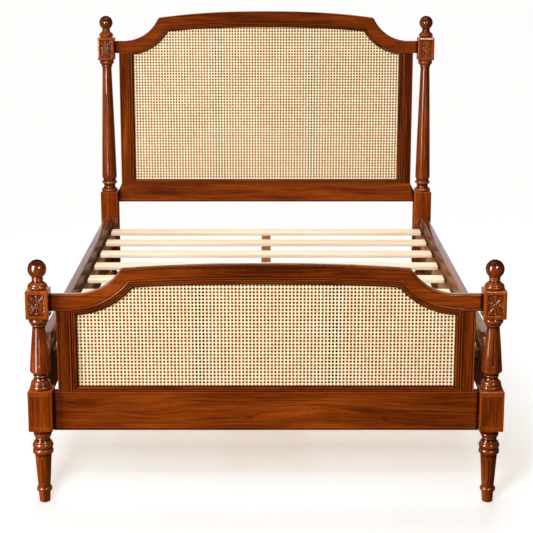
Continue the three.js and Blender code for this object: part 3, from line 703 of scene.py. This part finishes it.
def make_post(end, side, word):
    x, y = side * POST_X, end.y
    leg_top, block_top, cap_bottom, cap_top = end.leg_top, end.block_top, end.cap_bottom, end.cap_top
    outer_face = 0 if side > 0 else 2
    leg = turned(leg_profile(leg_top), x, y, (LEG_FLUTE[0], leg_top - LEG_FLUTE[1]))
    column = turned(column_profile(end), x, y, flute_range(end))
    shade_joint(leg, leg_top, JOINT_REACH)
    shade_joint(column, block_top, JOINT_REACH)
    shade_joint(column, cap_bottom, JOINT_REACH + 0.5)
    # The cap block with its carved fields
    rim, low, high = CAP_BLOCK / 2 - BEVEL, cap_bottom + FIELD_MARGIN, cap_top - FIELD_MARGIN
    fine = FIELD_HALF + FIELD_RIM
    fine_u = np.array([-rim, -fine - 2.3, *np.linspace(-fine, fine, 88), fine + 2.3, rim])
    fine_z = np.linspace(low - FIELD_RIM, high + FIELD_RIM, int((high - low) / CARVED_STEP))
    cap = block_shell(x, y, CAP_BLOCK / 2, cap_bottom, cap_top, (3, outer_face), fine_u, fine_z,
                      cap_relief, (FIELD_HALF, low, high))
    # The lower block with its scratched panel
    rim, low, high = BLOCK / 2 - BEVEL, leg_top + PANEL_RISE, end.panel_top
    fine_u = np.array(sorted([-rim, -15.0, 0.0, 15.0, rim, *around(-PANEL_HALF, PANEL_HALF)]))
    fine_z = sorted([*around(low, high), *np.linspace(low + 8.0, high - 8.0, 6)])
    block = block_shell(x, y, BLOCK / 2, leg_top, block_top, (*end.panel_faces, outer_face),
                        fine_u, fine_z, panel_relief, (PANEL_HALF, low, high))
    for shell, top, dull in ((block, block_top, 1.0), (cap, cap_top, 0.4)):
        shell.dull = np.where(shell.points[:, 2] > top - 1.0, 0.0, dull)
    shells = [leg, block, column, cap]
    make_piece(f"{end.name}_post_{word}", shells, MAHOGANY, "z", soft_last=True)


def make_finial(end, side, word):
    """The finial, whose ball has painted shade and duller lacquer near its crown."""
    shell = turned(raised(FINIAL, end.cap_top), side * POST_X, end.y)
    height = shell.points[:, 2] - end.cap_top
    shade_joint(shell, end.cap_top, JOINT_REACH + 1.5)
    dull, dark = (np.clip((height - start) / reach, 0, 1) for start, reach in (CROWN_DULL, CROWN_SHADE))
    shell.dull = dull
    # Painted shade: the ball grows darker towards its crown.
    tone = np.where(height > BALL_FOOT, -0.02 - 0.22 * dark, 0.0)
    make_piece(f"{end.name}_finial_{word}", [shell], MAHOGANY, "z", tone=tone)


# Lines of the frames, as (x, z)
def mirrored(line):
    return [(-x, z) for x, z in reversed(line)]


def level_line(places, z):
    return [(x, z) for x in places]


def upright_line(x, heights):
    return [(x, z) for z in heights]


SHOULDER_STEPS, CROWN_STEPS = 28, 26
CAMBER_POWER = 2.4
ARCH_STATIONS = 150


def arch_line(arch, edge_x, offset):
    """An arched line by the same rule as in the solids: two concave shoulders and a cambered middle."""
    x0, z0, x1, z1, crown = arch
    rise, run = z1 - z0, x0 - x1
    radius = (run * run + rise * rise) / (2 * rise)
    r = radius - offset

    def camber(x):
        return crown + offset - (crown - z1) * abs(x / x1) ** CAMBER_POWER

    def on_arc(angle):
        return -x0 + r * math.sin(angle), z0 + radius - r * math.cos(angle)

    low, high = 0.0, QUARTER
    for _ in range(40):
        middle = (low + high) / 2
        x, z = on_arc(middle)
        low, high = (middle, high) if z < camber(x) else (low, middle)
    start = math.asin(max(x0 - edge_x, 0.0) / r)
    left = [on_arc(start + (low - start) * t) for t in np.linspace(0, 1, SHOULDER_STEPS)]
    if edge_x > x0:
        left.insert(0, (-edge_x, left[0][1]))
    corner = left[-1][0]
    left += [(corner * t, camber(corner * t)) for t in 1 - np.linspace(0, 1, CROWN_STEPS)[1:-1]]
    return [*left, (0.0, crown + offset), *mirrored(left)]


def resampled(line, count):
    """The same polyline with count points at even steps along it."""
    line = np.array(line, float)
    at = travelled(line)
    wanted = np.linspace(0, at[-1], count)
    return np.column_stack([np.interp(wanted, at, line[:, 0]), np.interp(wanted, at, line[:, 1])])


def inward(line, other):
    """The mitre step of each point of a line that moves it one unit off the line, towards the other."""
    before = np.diff(line, axis=0)
    before = before / np.maximum(np.hypot(*before.T), 1e-9)[:, None]
    normals = np.column_stack([-before[:, 1], before[:, 0]])
    toward = (other[1:] + other[:-1] - line[1:] - line[:-1]) / 2
    normals *= np.where((normals * toward).sum(1) < 0, -1, 1)[:, None]
    first = np.vstack([normals[:1], normals])
    middle = first + np.vstack([normals, normals[-1:]])
    return middle / np.maximum((middle * first).sum(1), 0.4)[:, None]


# Sections: distance in, depth back, and wear with painted light, below zero painted shade in quirks and
# grooves, above zero rubbed edges and painted highlight
EASED = [(0.0, 2.4, 0.0), (0.5, 0.9, 0.1), (1.7, 0.2, 0.3), (3.0, 0.0, 0.3)]
SCRATCH = [(4.2, 0.0, 0.1), (5.0, 1.0, -0.7), (5.7, 1.3, -0.9), (6.4, 1.0, -0.7), (7.2, 0.0, 0.0)]
CREST_OUTER = EASED + SCRATCH
STILE_OUTER = [(0.0, 3.0, -0.5), (0.6, 1.2, 0.0), (2.2, 0.1, 0.4), (4.8, 0.2, 0.4), (6.2, 1.2, -0.6),
               (7.2, 2.0, -1.0), (8.2, 1.6, -0.9), (9.2, 0.0, -0.1)]
FRAME_INNER = [(0.0, 2.8, -1.0), (0.7, 1.6, -1.0), (1.6, 0.6, -0.6), (2.6, 0.1, 0.4), (5.0, 0.0, 0.5),
               (6.0, 0.7, -0.5), (7.0, 1.1, -0.9), (8.0, 0.7, -0.6), (9.2, 0.0, 0.0)]
RAIL_EDGE = [(0.0, 2.6, -0.6), (0.6, 1.0, -0.5), (2.2, 0.1, -0.3), (4.2, 0.1, -0.4), (5.4, 0.9, -0.9),
             (6.2, 1.6, -0.9), (7.2, 1.4, -0.2), (8.4, 0.2, 0.6), (10.0, 0.0, 0.3), (11.5, 0.0, 0.0)]
RAIL_TOP = [(0.0, 2.6, -0.9), (0.6, 1.0, -0.3), (2.2, 0.2, 0.3), (5.2, 0.0, 0.2), (6.2, 0.9, -0.7),
            (7.0, 0.9, -0.7), (8.2, 0.0, 0.0)]
BEAD_OUT = [(0.0, 4.0, -1.0), (0.8, 2.4, -1.0), (1.6, 0.8, -0.4), (2.6, 0.1, 0.4), (3.8, 0.1, 0.3),
            (5.0, 1.2, -0.8), (6.2, 1.9, -1.0), (7.3, 1.6, -0.6)]
BEAD_IN = [(0.0, 7.6, -1.0), (0.5, 6.6, -1.0), (1.5, 5.8, -0.9), (3.2, 4.4, -0.8), (4.8, 2.8, -0.4),
           (6.0, 1.6, 0.2)]
PLAIN_EDGE = [(0.0, 0.0, 0.0)]
BACK_EASE = ((0.0, 2.2), (0.5, 0.9), (1.6, 0.15))
# Where a strip's front and back lie, from the middle of the frame
FRAME_DEPTHS = (-FRAME_T / 2, FRAME_T / 2)
TONGUE_DEPTHS = (-2.0, 3.0)
BEAD_DEPTHS = (-13.0, -4.6)
POST_SHADE = (-1.0, -0.8, -0.4)      # the most painted shade of a rail's stations, from the post on, as a painted shadow of the post
FRONT_DULL = 0.8          # the rubbed-down lacquer on the front of the panel frames


def moulding(end, depths, outer, inner, from_outer=PLAIN_EDGE, from_inner=PLAIN_EDGE, rows=0, shade=()):
    """A strip between two lines, with a section from each of them across its front."""
    outer, inner = np.asarray(outer, float), np.asarray(inner, float)
    go_in, go_out = inward(outer, inner), inward(inner, outer)
    front, back = (end.y + depth for depth in depths)
    section = [(outer + go_in * inset, front + depth, mark) for inset, depth, mark in from_outer]
    flat_out, flat_in = section[-1][0], inner + go_out * from_inner[-1][0]
    section += [(flat_out + (flat_in - flat_out) * t, front, 0.0) for t in np.linspace(0, 1, rows + 2)[1:-1]]
    section += [(inner + go_out * inset, front + depth, mark) for inset, depth, mark in reversed(from_inner)]
    section += [(inner + go_out * inset, back - depth, 0.0) for inset, depth in BACK_EASE]
    section += [(outer + go_in * inset, back - depth, 0.0) for inset, depth in reversed(BACK_EASE)]
    rings = np.stack([np.column_stack([p[:, 0], np.full(len(p), y), p[:, 1]]) for p, y, _ in section], 1)
    wear = np.tile([mark for _, _, mark in section], (len(rings), 1))
    # Painted shadow of the posts: the stations at each end of a rail are darkened.
    for station, most in enumerate(shade):
        both = [station, -1 - station]
        wear[both] = np.minimum(wear[both], most)
    shell = ring_stack(rings, wear)
    dull = np.full(len(section), FRONT_DULL)
    dull[[0, -3, -2, -1]] = 0.0
    shell.dull = np.tile(dull, len(rings))
    return shell


def make_crest(end):
    z0, under = end.crest[1], end.crest_under
    outer = arch_line(end.crest, POST_X - CAP_BLOCK / 2 - GAP, 0.0)
    inner = arch_line(end.sight, STILE_IN, end.bead_top)
    # The straight stretch between post and stile, then the arch, station by station
    start_x = outer[0][0]
    stretch = [start_x + (-STILE_IN - start_x) * t for t in (0.0, 0.05, 0.11, 0.2, 0.4, 0.6, 0.8)]
    over_cane = [p for p in outer if abs(p[0]) <= STILE_IN]
    lines = []
    for base, rim, arch in ((z0, max(z0, over_cane[0][1] - 0.01), over_cane), (under, under, inner)):
        left = level_line(stretch, base)
        middle = resampled([(-STILE_IN, rim), *arch, (STILE_IN, rim)], ARCH_STATIONS)
        lines.append(np.vstack([left, middle, mirrored(left)]))
    rail = moulding(end, FRAME_DEPTHS, *lines, CREST_OUTER, FRAME_INNER, 6, POST_SHADE)
    tongue = moulding(end, TONGUE_DEPTHS,
                      resampled(arch_line(end.sight, STILE_IN - GAP, end.bead_top + 4.0), 90),
                      resampled(arch_line(end.sight, SIGHT_X, 0.0), 90))
    make_piece(f"{end.name}_crest_rail", [rail, tongue], PANEL_WOOD, "x")


def make_stile(end, side, word):
    top = end.crest_under - GAP
    heights = np.linspace(end.rail_top + GAP, top, 24)
    stile = moulding(end, FRAME_DEPTHS, upright_line(side * STILE_OUT, heights),
                     upright_line(side * STILE_IN, heights), STILE_OUTER, FRAME_INNER)
    tongue = moulding(end, TONGUE_DEPTHS, upright_line(side * (STILE_IN + 2), heights),
                      upright_line(side * SIGHT_X, np.linspace(end.sight_bottom, top - 4, 24)))
    make_piece(f"{end.name}_stile_{word}", [stile, tongue], PANEL_WOOD, "z")


def make_lower_rail(end):
    """The lower rail, whose top slopes down outside the stiles at the head."""
    rail_top, face = end.rail_top, POST_X - BLOCK / 2 - GAP
    slope = np.linspace(face, STILE_OUT, 5)[:-1]
    stations = np.concatenate([-slope, np.linspace(-STILE_OUT, STILE_OUT, 220), slope[::-1]])
    drop = (rail_top - end.rail_shoulder) / (face - STILE_OUT)
    top = [(x, rail_top - drop * max(abs(x) - STILE_OUT, 0.0)) for x in stations]
    bottom = level_line(stations, end.rail_bottom)
    rail = moulding(end, FRAME_DEPTHS, top, bottom, RAIL_TOP, RAIL_EDGE, 20, POST_SHADE)
    across = np.linspace(-STILE_IN, STILE_IN, 30)
    tongue = moulding(end, TONGUE_DEPTHS, level_line(across * SIGHT_X / STILE_IN, end.sight_bottom),
                      level_line(across, rail_top - 2.0))
    make_piece(f"{end.name}_lower_rail", [rail, tongue], PANEL_WOOD, "x")


def make_beads(end):
    """The beads that hold the cane: a quirk by the frame, a round nose, a groove and a slope to the cane."""
    edge = STILE_IN - GAP
    outer = resampled(arch_line(end.sight, edge, end.bead_top - GAP), ARCH_STATIONS)
    inner = resampled(arch_line(end.sight, SIGHT_X, 0.0), ARCH_STATIONS)
    lines = {"top": (outer, inner, "x")}
    low, sight = end.rail_top + GAP, end.sight_bottom
    for side, word in SIDES:
        rim = np.linspace(low + 0.4, outer[0][1] - 0.4, 40)
        show = np.linspace(sight + 0.4, inner[0][1] - 0.4, 40)
        lines[word] = (upright_line(side * edge, rim), upright_line(side * SIGHT_X, show), "z")
    share = np.linspace(-1, 1, 50)
    lines["bottom"] = (level_line(edge * share, low), level_line(SIGHT_X * share, sight), "x")
    for word, (rim, show, grain) in lines.items():
        bead = moulding(end, BEAD_DEPTHS, rim, show, BEAD_OUT, BEAD_IN)
        make_piece(f"{end.name}_bead_{word}", [bead], PANEL_WOOD, grain)


# The woven cane: pairs of upright and level strands, and single strands along both diagonals
STRAND_T = 0.55           # thickness of a strand
STRAND_SECTION = ((-0.5, 0.12), (-0.22, -0.5), (0.22, -0.5), (0.5, 0.12))   # shares of width and thickness
PAIR_APART = 0.088        # shares of the pitch: half the way between the strands of a pair,
PAIR_WIDTH = 0.150        # the width of one of them,
DIAGONAL_WIDTH = 0.100    # and the width of a diagonal strand
WAVE_PAIR = 0.30          # how far a paired strand swings front and back
WAVE_DIAGONAL = 0.52      # how far a diagonal strand swings
CANE_MIDDLE = -3.35       # middle of the weave, from the middle of the frame
TUCK = 13.0               # how far the strands run on under the beads
FIRST_HOLE = 10.0         # the lowest row of holes, above the bottom of the sight
# Ranges that the tones of the strands are drawn from
UPRIGHT_TONES, LEVEL_TONES, DIAGONAL_TONES = (0.4, 1.0), (0.0, 0.6), (-0.35, 0.25)


class Weave:
    """Strands as rings of four points, cut to the opening of a frame grown by the tuck."""

    def __init__(self, end):
        self.name = end.name
        self.line = np.array(arch_line(end.sight, SIGHT_X + TUCK, min(TUCK, end.bead_top - 2.0)))
        self.bottom = end.sight_bottom - TUCK
        self.runs, self.tones = [], []
        self.draw = np.random.default_rng(number_of(end.name + "_weave"))

    def strand(self, x, z, y, width, tones):
        top = np.interp(x, self.line[:, 0], self.line[:, 1])
        keep = (np.abs(x) <= SIGHT_X + TUCK) & (z >= self.bottom) & (z <= top)
        edges = np.flatnonzero(np.diff(np.concatenate([[0], keep.astype(int), [0]])))
        tone = self.draw.uniform(*tones)
        for first, last in zip(edges[::2], edges[1::2]):
            if last - first > 2:
                self.add_run(x[first:last], z[first:last], y[first:last], width)
                self.tones.append(np.full(4 * (last - first), tone))

    def add_run(self, x, z, y, width):
        along_x, along_z = x[-1] - x[0], z[-1] - z[0]
        wide = width / math.hypot(along_x, along_z)
        self.runs.append(np.stack([
            np.column_stack([x - along_z * wide * a, y + b * STRAND_T, z + along_x * wide * a])
            for a, b in STRAND_SECTION], 1))

    def make(self, word, grain):
        """One piece of all the strands so far."""
        quads, base = [], 0
        for run in self.runs:
            ends = np.array([[3, 2, 1, 0], [0, 1, 2, 3]]) + [[0], [4 * len(run) - 4]]
            quads.append(np.vstack([tube_quads(len(run), 4), ends]) + base)
            base += 4 * len(run)
        shell = Shell(np.concatenate(self.runs), np.concatenate(quads))
        make_piece(f"{self.name}_cane_panel", [shell], CANE, grain, f"{self.name}_cane_{word}",
                   sharp=60.0, tone=np.concatenate(self.tones))
        self.runs, self.tones = [], []


def make_cane(end):
    pitch = end.pitch
    weave = Weave(end)
    y = end.y + CANE_MIDDLE
    # Holes stand on the left sight edge and a set height above the bottom one; pairs lie between them
    column0 = -SIGHT_X - pitch / 2
    row0 = end.sight_bottom + FIRST_HOLE - pitch / 2 - pitch * 3
    columns = int((2 * SIGHT_X + 2 * TUCK) / pitch) + 4
    rows = int((end.sight[-1] + 30 - row0) / pitch) + 2
    apart, width, thin = PAIR_APART * pitch, PAIR_WIDTH * pitch, DIAGONAL_WIDTH * pitch
    half_steps = np.arange(0, 2 * max(columns, rows) + 1) / 2.0
    up, across = half_steps[half_steps <= rows], half_steps[half_steps <= columns + 2] - 2
    for i in range(-2, columns):
        for shift in (-apart, apart):
            x = np.full(len(up), column0 + i * pitch + shift)
            swing = -WAVE_PAIR * np.cos(math.pi * up) * (-1) ** i
            weave.strand(x, row0 + up * pitch, y + swing, width, UPRIGHT_TONES)
    weave.make("uprights", "z")
    for j in range(rows + 1):
        for shift in (-apart, apart):
            z = np.full(len(across), row0 + j * pitch + shift)
            swing = WAVE_PAIR * np.cos(math.pi * across) * (-1) ** j
            weave.strand(column0 + across * pitch, z, y + swing, width, LEVEL_TONES)
    weave.make("levels", "x")
    for slope in (1, -1):
        for k in range(-rows - 2, columns + rows + 2):
            turns = k + 0.5 + slope * up
            swing = -slope * WAVE_DIAGONAL * np.cos(2 * math.pi * turns)
            weave.strand(column0 + turns * pitch, row0 + up * pitch, y + swing, thin, DIAGONAL_TONES)
    weave.make("diagonals", "x")


# Boards with eased edges
def stacked(axis, stations, ease, steps, worn):
    """A shell along an axis through rounded rectangles, each given as its place, two corners and an inset."""
    angles = (np.arange(4)[:, None] + np.linspace(0, 1, steps)) * QUARTER
    turns = np.stack([np.cos(angles), np.sin(angles)], -1)
    signs = np.array([(1, 1), (-1, 1), (-1, -1), (1, -1)])
    on_corner = np.tile(np.arange(steps) % (steps - 1) > 0, 4)
    rings, wear = [], []
    for at, low, high, inset in stations:
        centres = (low + high) / 2 + signs * ((high - low) / 2 - ease)
        ring = (centres[:, None] + (ease - inset) * turns).reshape(-1, 2)
        rings.append(np.insert(ring, axis, at, axis=1))
        wear.append(worn * (on_corner | (inset > 0)))
    return ring_stack(rings, wear)


def eased_board(lo, hi, ease, axis, stations=2):
    """A board that runs along an axis, with rounded long edges and slightly eased ends."""
    low, high = np.delete(lo, axis), np.delete(hi, axis)
    along = np.linspace(lo[axis] + ease * 0.6, hi[axis] - ease * 0.6, stations)
    places = [(lo[axis], ease * 0.5), *[(at, 0.0) for at in along], (hi[axis], ease * 0.5)]
    return stacked(axis, [(at, low, high, inset) for at, inset in places], ease, 4, 0.55)


def box_mm(node):
    lo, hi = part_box(node)
    return np.array(lo) / MM, np.array(hi) / MM


def make_board(node, ease, axis, material, stations):
    return make_piece(node, [eased_board(*box_mm(node), ease, axis, stations)], material, "xyz"[axis])


def make_slats():
    """The slats, which it returns, their centre beam and the cleats on the rails."""
    nodes = sorted(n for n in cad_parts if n.startswith("slat_") and n[5:].isdigit())
    slats = [make_board(node, 1.6, 0, BIRCH, 20) for node in nodes]
    make_board("centre_beam", 2.4, 1, RAW_CLEAT, 24)
    for _, word in SIDES:
        make_board(f"slat_cleat_{word}", 1.6, 1, RAW_CLEAT, 24)
    return slats


# The bed rails, with a swept shoulder at the foot
BED_RAIL_Z = (300.0, 510.0)
SWEEP_DROP, SWEEP_RUN = 130.0, 166.0
RAIL_TENON = 24.0


def make_bed_rail(side, word):
    node = f"bed_rail_{word}"
    lo, hi = box_mm(node)
    bottom, top = BED_RAIL_Z
    radius = (SWEEP_RUN ** 2 + SWEEP_DROP ** 2) / (2 * SWEEP_DROP)
    length = hi[1] - lo[1] - 2 * RAIL_TENON
    stations = []
    for run in [*(SWEEP_RUN * np.linspace(0, 1, 24)), *np.linspace(SWEEP_RUN + 40, length, 40)]:
        crown = top - SWEEP_DROP + radius - math.sqrt(radius ** 2 - min(run, SWEEP_RUN) ** 2)
        stations.append((lo[1] + RAIL_TENON + run, np.array([lo[0], bottom]), np.array([hi[0], crown]), 0.0))
    shell = stacked(1, stations, 3.0, 5, 0.6)
    # The inner face is dull, short of its eased edges
    inner = lo[0] if side > 0 else hi[0]
    shell.dull = 0.85 * ((np.abs(shell.points[:, 0] - inner) < 1.2) & (shell.points[:, 2] < top - 1.5))
    make_piece(node, [shell], RAIL_WOOD, "y")


BACK_BEVEL = 0.8


def eased_copy(node, material):
    """An arched board or batten, which keeps its solid's outline, with the edges eased."""
    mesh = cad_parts[node].data.copy()
    mesh.name = f"dressed_{node}"
    work = bmesh.new()
    work.from_mesh(mesh)
    bmesh.ops.remove_doubles(work, verts=work.verts, dist=1e-6)
    bmesh.ops.dissolve_limit(work, angle_limit=math.radians(1.0), verts=work.verts, edges=work.edges)
    sharp = [e for e in work.edges if len(e.link_faces) == 2 and e.calc_face_angle() > math.radians(40)]
    bmesh.ops.bevel(work, geom=sharp, offset=BACK_BEVEL * MM, segments=2, affect="EDGES", clamp_overlap=True)
    work.to_mesh(mesh)
    work.free()
    mesh.materials.clear()
    smooth(mesh, SHARP)
    points = np.zeros(len(mesh.vertices) * 3, np.float32)
    mesh.vertices.foreach_get("co", points)
    add_grain(mesh, points.reshape(-1, 3), "z", node)
    place(mesh, f"dressed_{node}", material, node)


def make_backs(end):
    for word in ("left", "middle", "right"):
        eased_copy(f"{end.name}_back_board_{word}", BACK_BOARD)
    for _, word in SIDES:
        eased_copy(f"{end.name}_batten_{word}", DARK_BATTEN)


# Steel: corner brackets with their bolts, and the two legs of the centre beam
BRACKET_T = 3.0
RAIL_BOLTS = (0.42, 0.78)            # shares of the bracket's length from the post


def bolt_head(centre, axis, outward, radius=6.2, height=3.4):
    """A domed bolt head on a washer, looking along an axis."""
    profile = [(radius * 1.35, 0.0), (radius * 1.4, 0.5), (radius * 1.3, 1.1), (radius, 1.2),
               *[(radius * math.cos(a), 1.2 + height * math.sin(a)) for a in np.linspace(0.15, 1.45, 8)]]
    shell = turned(profile, 0.0, 0.0, steps=28)
    points = np.insert(shell.points[:, :2], axis, outward * shell.points[:, 2], axis=1)
    return Shell(points + np.array(centre), shell.quads, shell.caps, 0.5)


def make_bracket(end, side, word):
    """An angle with one wall on the post and one on the bed rail."""
    node = f"rail_bracket_{end.name}_{word}"
    lo, hi = box_mm(node)
    toward = 1 if end is FOOT else -1
    post_y = lo[1] if toward > 0 else hi[1]
    free_x, rail_x = (lo[0], hi[0]) if side > 0 else (hi[0], lo[0])
    wall_y, wall_x = post_y + toward * BRACKET_T, rail_x - side * BRACKET_T
    middle = (lo[2] + hi[2]) / 2
    shells = [
        eased_board((lo[0], min(post_y, wall_y), lo[2]), (hi[0], max(post_y, wall_y), hi[2]), 1.0, 2, 4),
        eased_board((min(rail_x, wall_x), lo[1], lo[2]), (max(rail_x, wall_x), hi[1], hi[2]), 1.0, 2, 4),
        bolt_head((free_x + side * 11.0, wall_y, middle + 8.0), 1, toward)]
    for share in RAIL_BOLTS:
        y = post_y + toward * share * (hi[1] - lo[1])
        shells.append(bolt_head((wall_x, y, middle), 0, -side, 5.0, 2.6))
    make_piece(node, shells, BRACKET_STEEL, "z")


def make_beam_leg(node):
    """A centre leg: a round foot on a screw, a tube and a flange under the beam."""
    lo, hi = box_mm(node)
    profile = [(20.2, 0.0), (20.9, 0.8), (21.0, 3.0), *curve((20.6, 4.0), (12.0, 9.0), False, 6),
               (10.0, 11.0), *[(10.0 + 0.5 * (k % 2), 12.0 + k) for k in range(19)],
               *bulge(31.5, 34.5, 13.2, 13.9, 5), *straight((13.6, 36.0), (13.6, hi[2] - 7.0), 10),
               *raised([(18.4, -5.2), (18.8, -4.6), (18.8, -0.4), (18.4, 0.0)], hi[2])]
    shell = turned(profile, (lo[0] + hi[0]) / 2, (lo[1] + hi[1]) / 2)
    make_piece(node, [shell], LEG_STEEL, "z")


# Assembly
for end in (FOOT, HEAD):
    for side, word in SIDES:
        make_post(end, side, word)
        make_finial(end, side, word)
        make_stile(end, side, word)
        make_bracket(end, side, word)
    make_crest(end)
    make_lower_rail(end)
    make_beads(end)
    make_cane(end)
    make_backs(end)
for side, word in SIDES:
    make_bed_rail(side, word)
slats = make_slats()
for node in ("beam_leg_1", "beam_leg_2"):
    make_beam_leg(node)


# Floor, light and camera, in metres
def flat_panel(name, corners, material):
    mesh = bpy.data.meshes.new(name)
    mesh.from_pydata(corners, [], [(0, 1, 2, 3)])
    mesh.materials.append(material)
    panel = bpy.data.objects.new(name, mesh)
    bpy.context.scene.collection.objects.link(panel)
    return panel


FLOOR_REACH = 40.0


def make_floor():
    """White with soft shadows where the camera looks, darker where gloss does, and plain for other rays."""
    n = Nodes(bpy.data.materials.new("floor"))
    shadowed = n.add("BsdfDiffuse", 0, {"Color": (0.82, 1.067, 1.28, 1.0)})
    warm_white = n.add("Emission", 0, {"Color": (0.502, 0.344, 0.202, 1.0), "Strength": 1.0})
    together = n.add("AddShader", 0, {0: shadowed, 1: warm_white})
    far_white = n.add("Emission", 0, {"Color": linear((255, 254, 252)), "Strength": 0.99})
    plain = n.add("BsdfDiffuse", 0, {"Color": linear((160, 157, 153))})
    dim = n.add("BsdfDiffuse", 0, {"Color": linear((36, 34, 32))})

    def blend(factor, first, second):
        return n.add("MixShader", 0, {"Fac": factor, 1: first, 2: second})

    backdrop = blend(n.map_range(n.along("Y"), 1.2, 3.6, 0.0, 1.0), together, far_white)
    in_gloss = blend(n.map_range(n.along("Y"), 2.4, 4.0, 0.0, 1.0), dim, plain)
    unseen = blend(n.mirrored(), plain, in_gloss)
    material = n.show(blend(n.add("LightPath", "Is Camera Ray"), unseen, backdrop))
    corners = [(FLOOR_REACH * i, FLOOR_REACH * j, 0) for i, j in ((-1, -1), (1, -1), (1, 1), (-1, 1))]
    floor = flat_panel("floor", corners, material)
    return floor


def make_world():
    """White where the camera looks, a room that is lighter on the left, and a white backdrop for gloss."""
    world = bpy.data.worlds.new("studio")
    bpy.context.scene.world = world
    n = Nodes(world)
    backdrop = n.map_range(n.along("Y", "Generated"), 0.90, 0.97, 0.04, 0.95)
    room = (n.map_range(n.along("X", "Generated"), -0.8, 0.7, 0.55, 0.10)
            * n.map_range(n.along("Z", "Generated"), 0.0, 0.5, 0.5, 1.0))
    glossy = n.mirrored()
    level = glossy * backdrop + n.math("SUBTRACT", 1.0, glossy) * room
    background = n.tree.nodes["Background"].inputs
    n.put(background["Strength"], n.math("MAXIMUM", level, n.add("LightPath", "Is Camera Ray")))
    background["Color"].default_value = (1.0, 1.0, 1.0, 1.0)


def add_softbox(name, location, target, width, height, power, spare=(), only=(), gloss=False):
    """A flat panel of light that faces the target.

    It lights all but the objects in spare, or only those in only.
    """
    light = bpy.data.lights.new(name, "AREA")
    light.shape = "RECTANGLE"
    light.size, light.size_y = width, height
    light.energy = power
    lamp = bpy.data.objects.new(name, light)
    bpy.context.scene.collection.objects.link(lamp)
    lamp.location = location
    lamp.rotation_euler = (Vector(target) - Vector(location)).to_track_quat("-Z", "Y").to_euler()
    lamp.visible_camera = False
    lamp.visible_glossy = gloss
    if spare or only:
        receivers = bpy.data.collections.new(f"{name}_receivers")
        for piece in (*spare, *only):
            receivers.objects.link(piece)
        for entry in receivers.collection_objects:
            entry.light_linking.link_state = "EXCLUDE" if spare else "INCLUDE"
        lamp.light_linking.receiver_collection = receivers


def make_gloss_card(name, location, turn, foot, head, low, high, dim, bright):
    """A lit upright card seen by gloss alone: it gives the long highlights and the small ones.

    foot and head are its half widths at the heights low and high. It brightens upwards from dim to bright.
    """
    n = Nodes(bpy.data.materials.new(name))
    strength = n.map_range(n.along("Z"), 0.6, 1.1, dim, bright)
    material = n.show(n.add("Emission", 0, {"Color": (1.0, 0.97, 0.93, 1.0), "Strength": strength}))
    card = flat_panel(name, [(-foot, 0, low), (foot, 0, low), (head, 0, high), (-head, 0, high)], material)
    card.location = (*location, 0.0)
    card.rotation_euler = (0.0, 0.0, math.radians(turn))
    card.visible_camera = False
    card.visible_diffuse = False
    card.visible_shadow = False


FOCAL, PICTURE = 1420.99, 533.0      # in pixels of the photo
CAMERA_PLACE = (0.0, -5.3751, 1.8431)
CAMERA_PITCH = 12.287                # degrees below level


def make_camera():
    """The photo's view: level with the middle of the bed, well above it, looking down a little."""
    camera = bpy.data.cameras.new("camera")
    camera.sensor_width = 36.0
    camera.lens = camera.sensor_width * FOCAL / PICTURE
    camera.shift_x, camera.shift_y = 0.0009, -0.0694
    camera.clip_end = 200.0
    holder = bpy.data.objects.new("camera", camera)
    holder.location = CAMERA_PLACE
    holder.rotation_euler = (math.radians(90.0 - CAMERA_PITCH), 0.0, 0.0)
    bpy.context.scene.collection.objects.link(holder)
    bpy.context.scene.camera = holder


FRONT_LEFT, FRONT_RIGHT = (-0.9, -4.06, 2.56), (1.63, -4.06, 2.56)
MID_BED = (0.0, 0.0, 0.5)
floor = make_floor()
make_world()
make_gloss_card("gloss_card_left", (-2.0, -2.45), -52.0, 0.26, 0.5, 0.03, 2.5, 13.0, 52.0)
make_gloss_card("gloss_card_right", FRONT_RIGHT[:2], 21.9, 0.45, 0.45, 2.0, 3.1, 42.0, 42.0)
add_softbox("key_left", (-7.5, -4.6, 3.1), (0.0, -0.6, 0.5), 3.6, 4.6, 1120.0, spare=(floor, *slats))
add_softbox("fill_right", FRONT_RIGHT, MID_BED, 0.9, 1.1, 42.0, spare=(floor,))
add_softbox("fill_left", FRONT_LEFT, MID_BED, 0.9, 1.1, 36.0, spare=(floor,))
add_softbox("floor_front", FRONT_LEFT, MID_BED, 0.9, 1.1, 62.0, only=(floor,))
add_softbox("top", (0.0, 0.5, 4.6), (0.0, 0.0, 0.0), 3.0, 3.0, 60.0, gloss=True)
add_softbox("slat_top", (-0.5, -2.3, 3.6), (0.0, 0.1, 0.45), 2.0, 1.6, 146.0, only=slats)
add_softbox("rear", (1.4, 5.6, 3.2), (0.0, 0.0, 0.6), 2.6, 2.0, 90.0)
make_camera()
bpy.context.scene.view_settings.view_transform = "Standard"
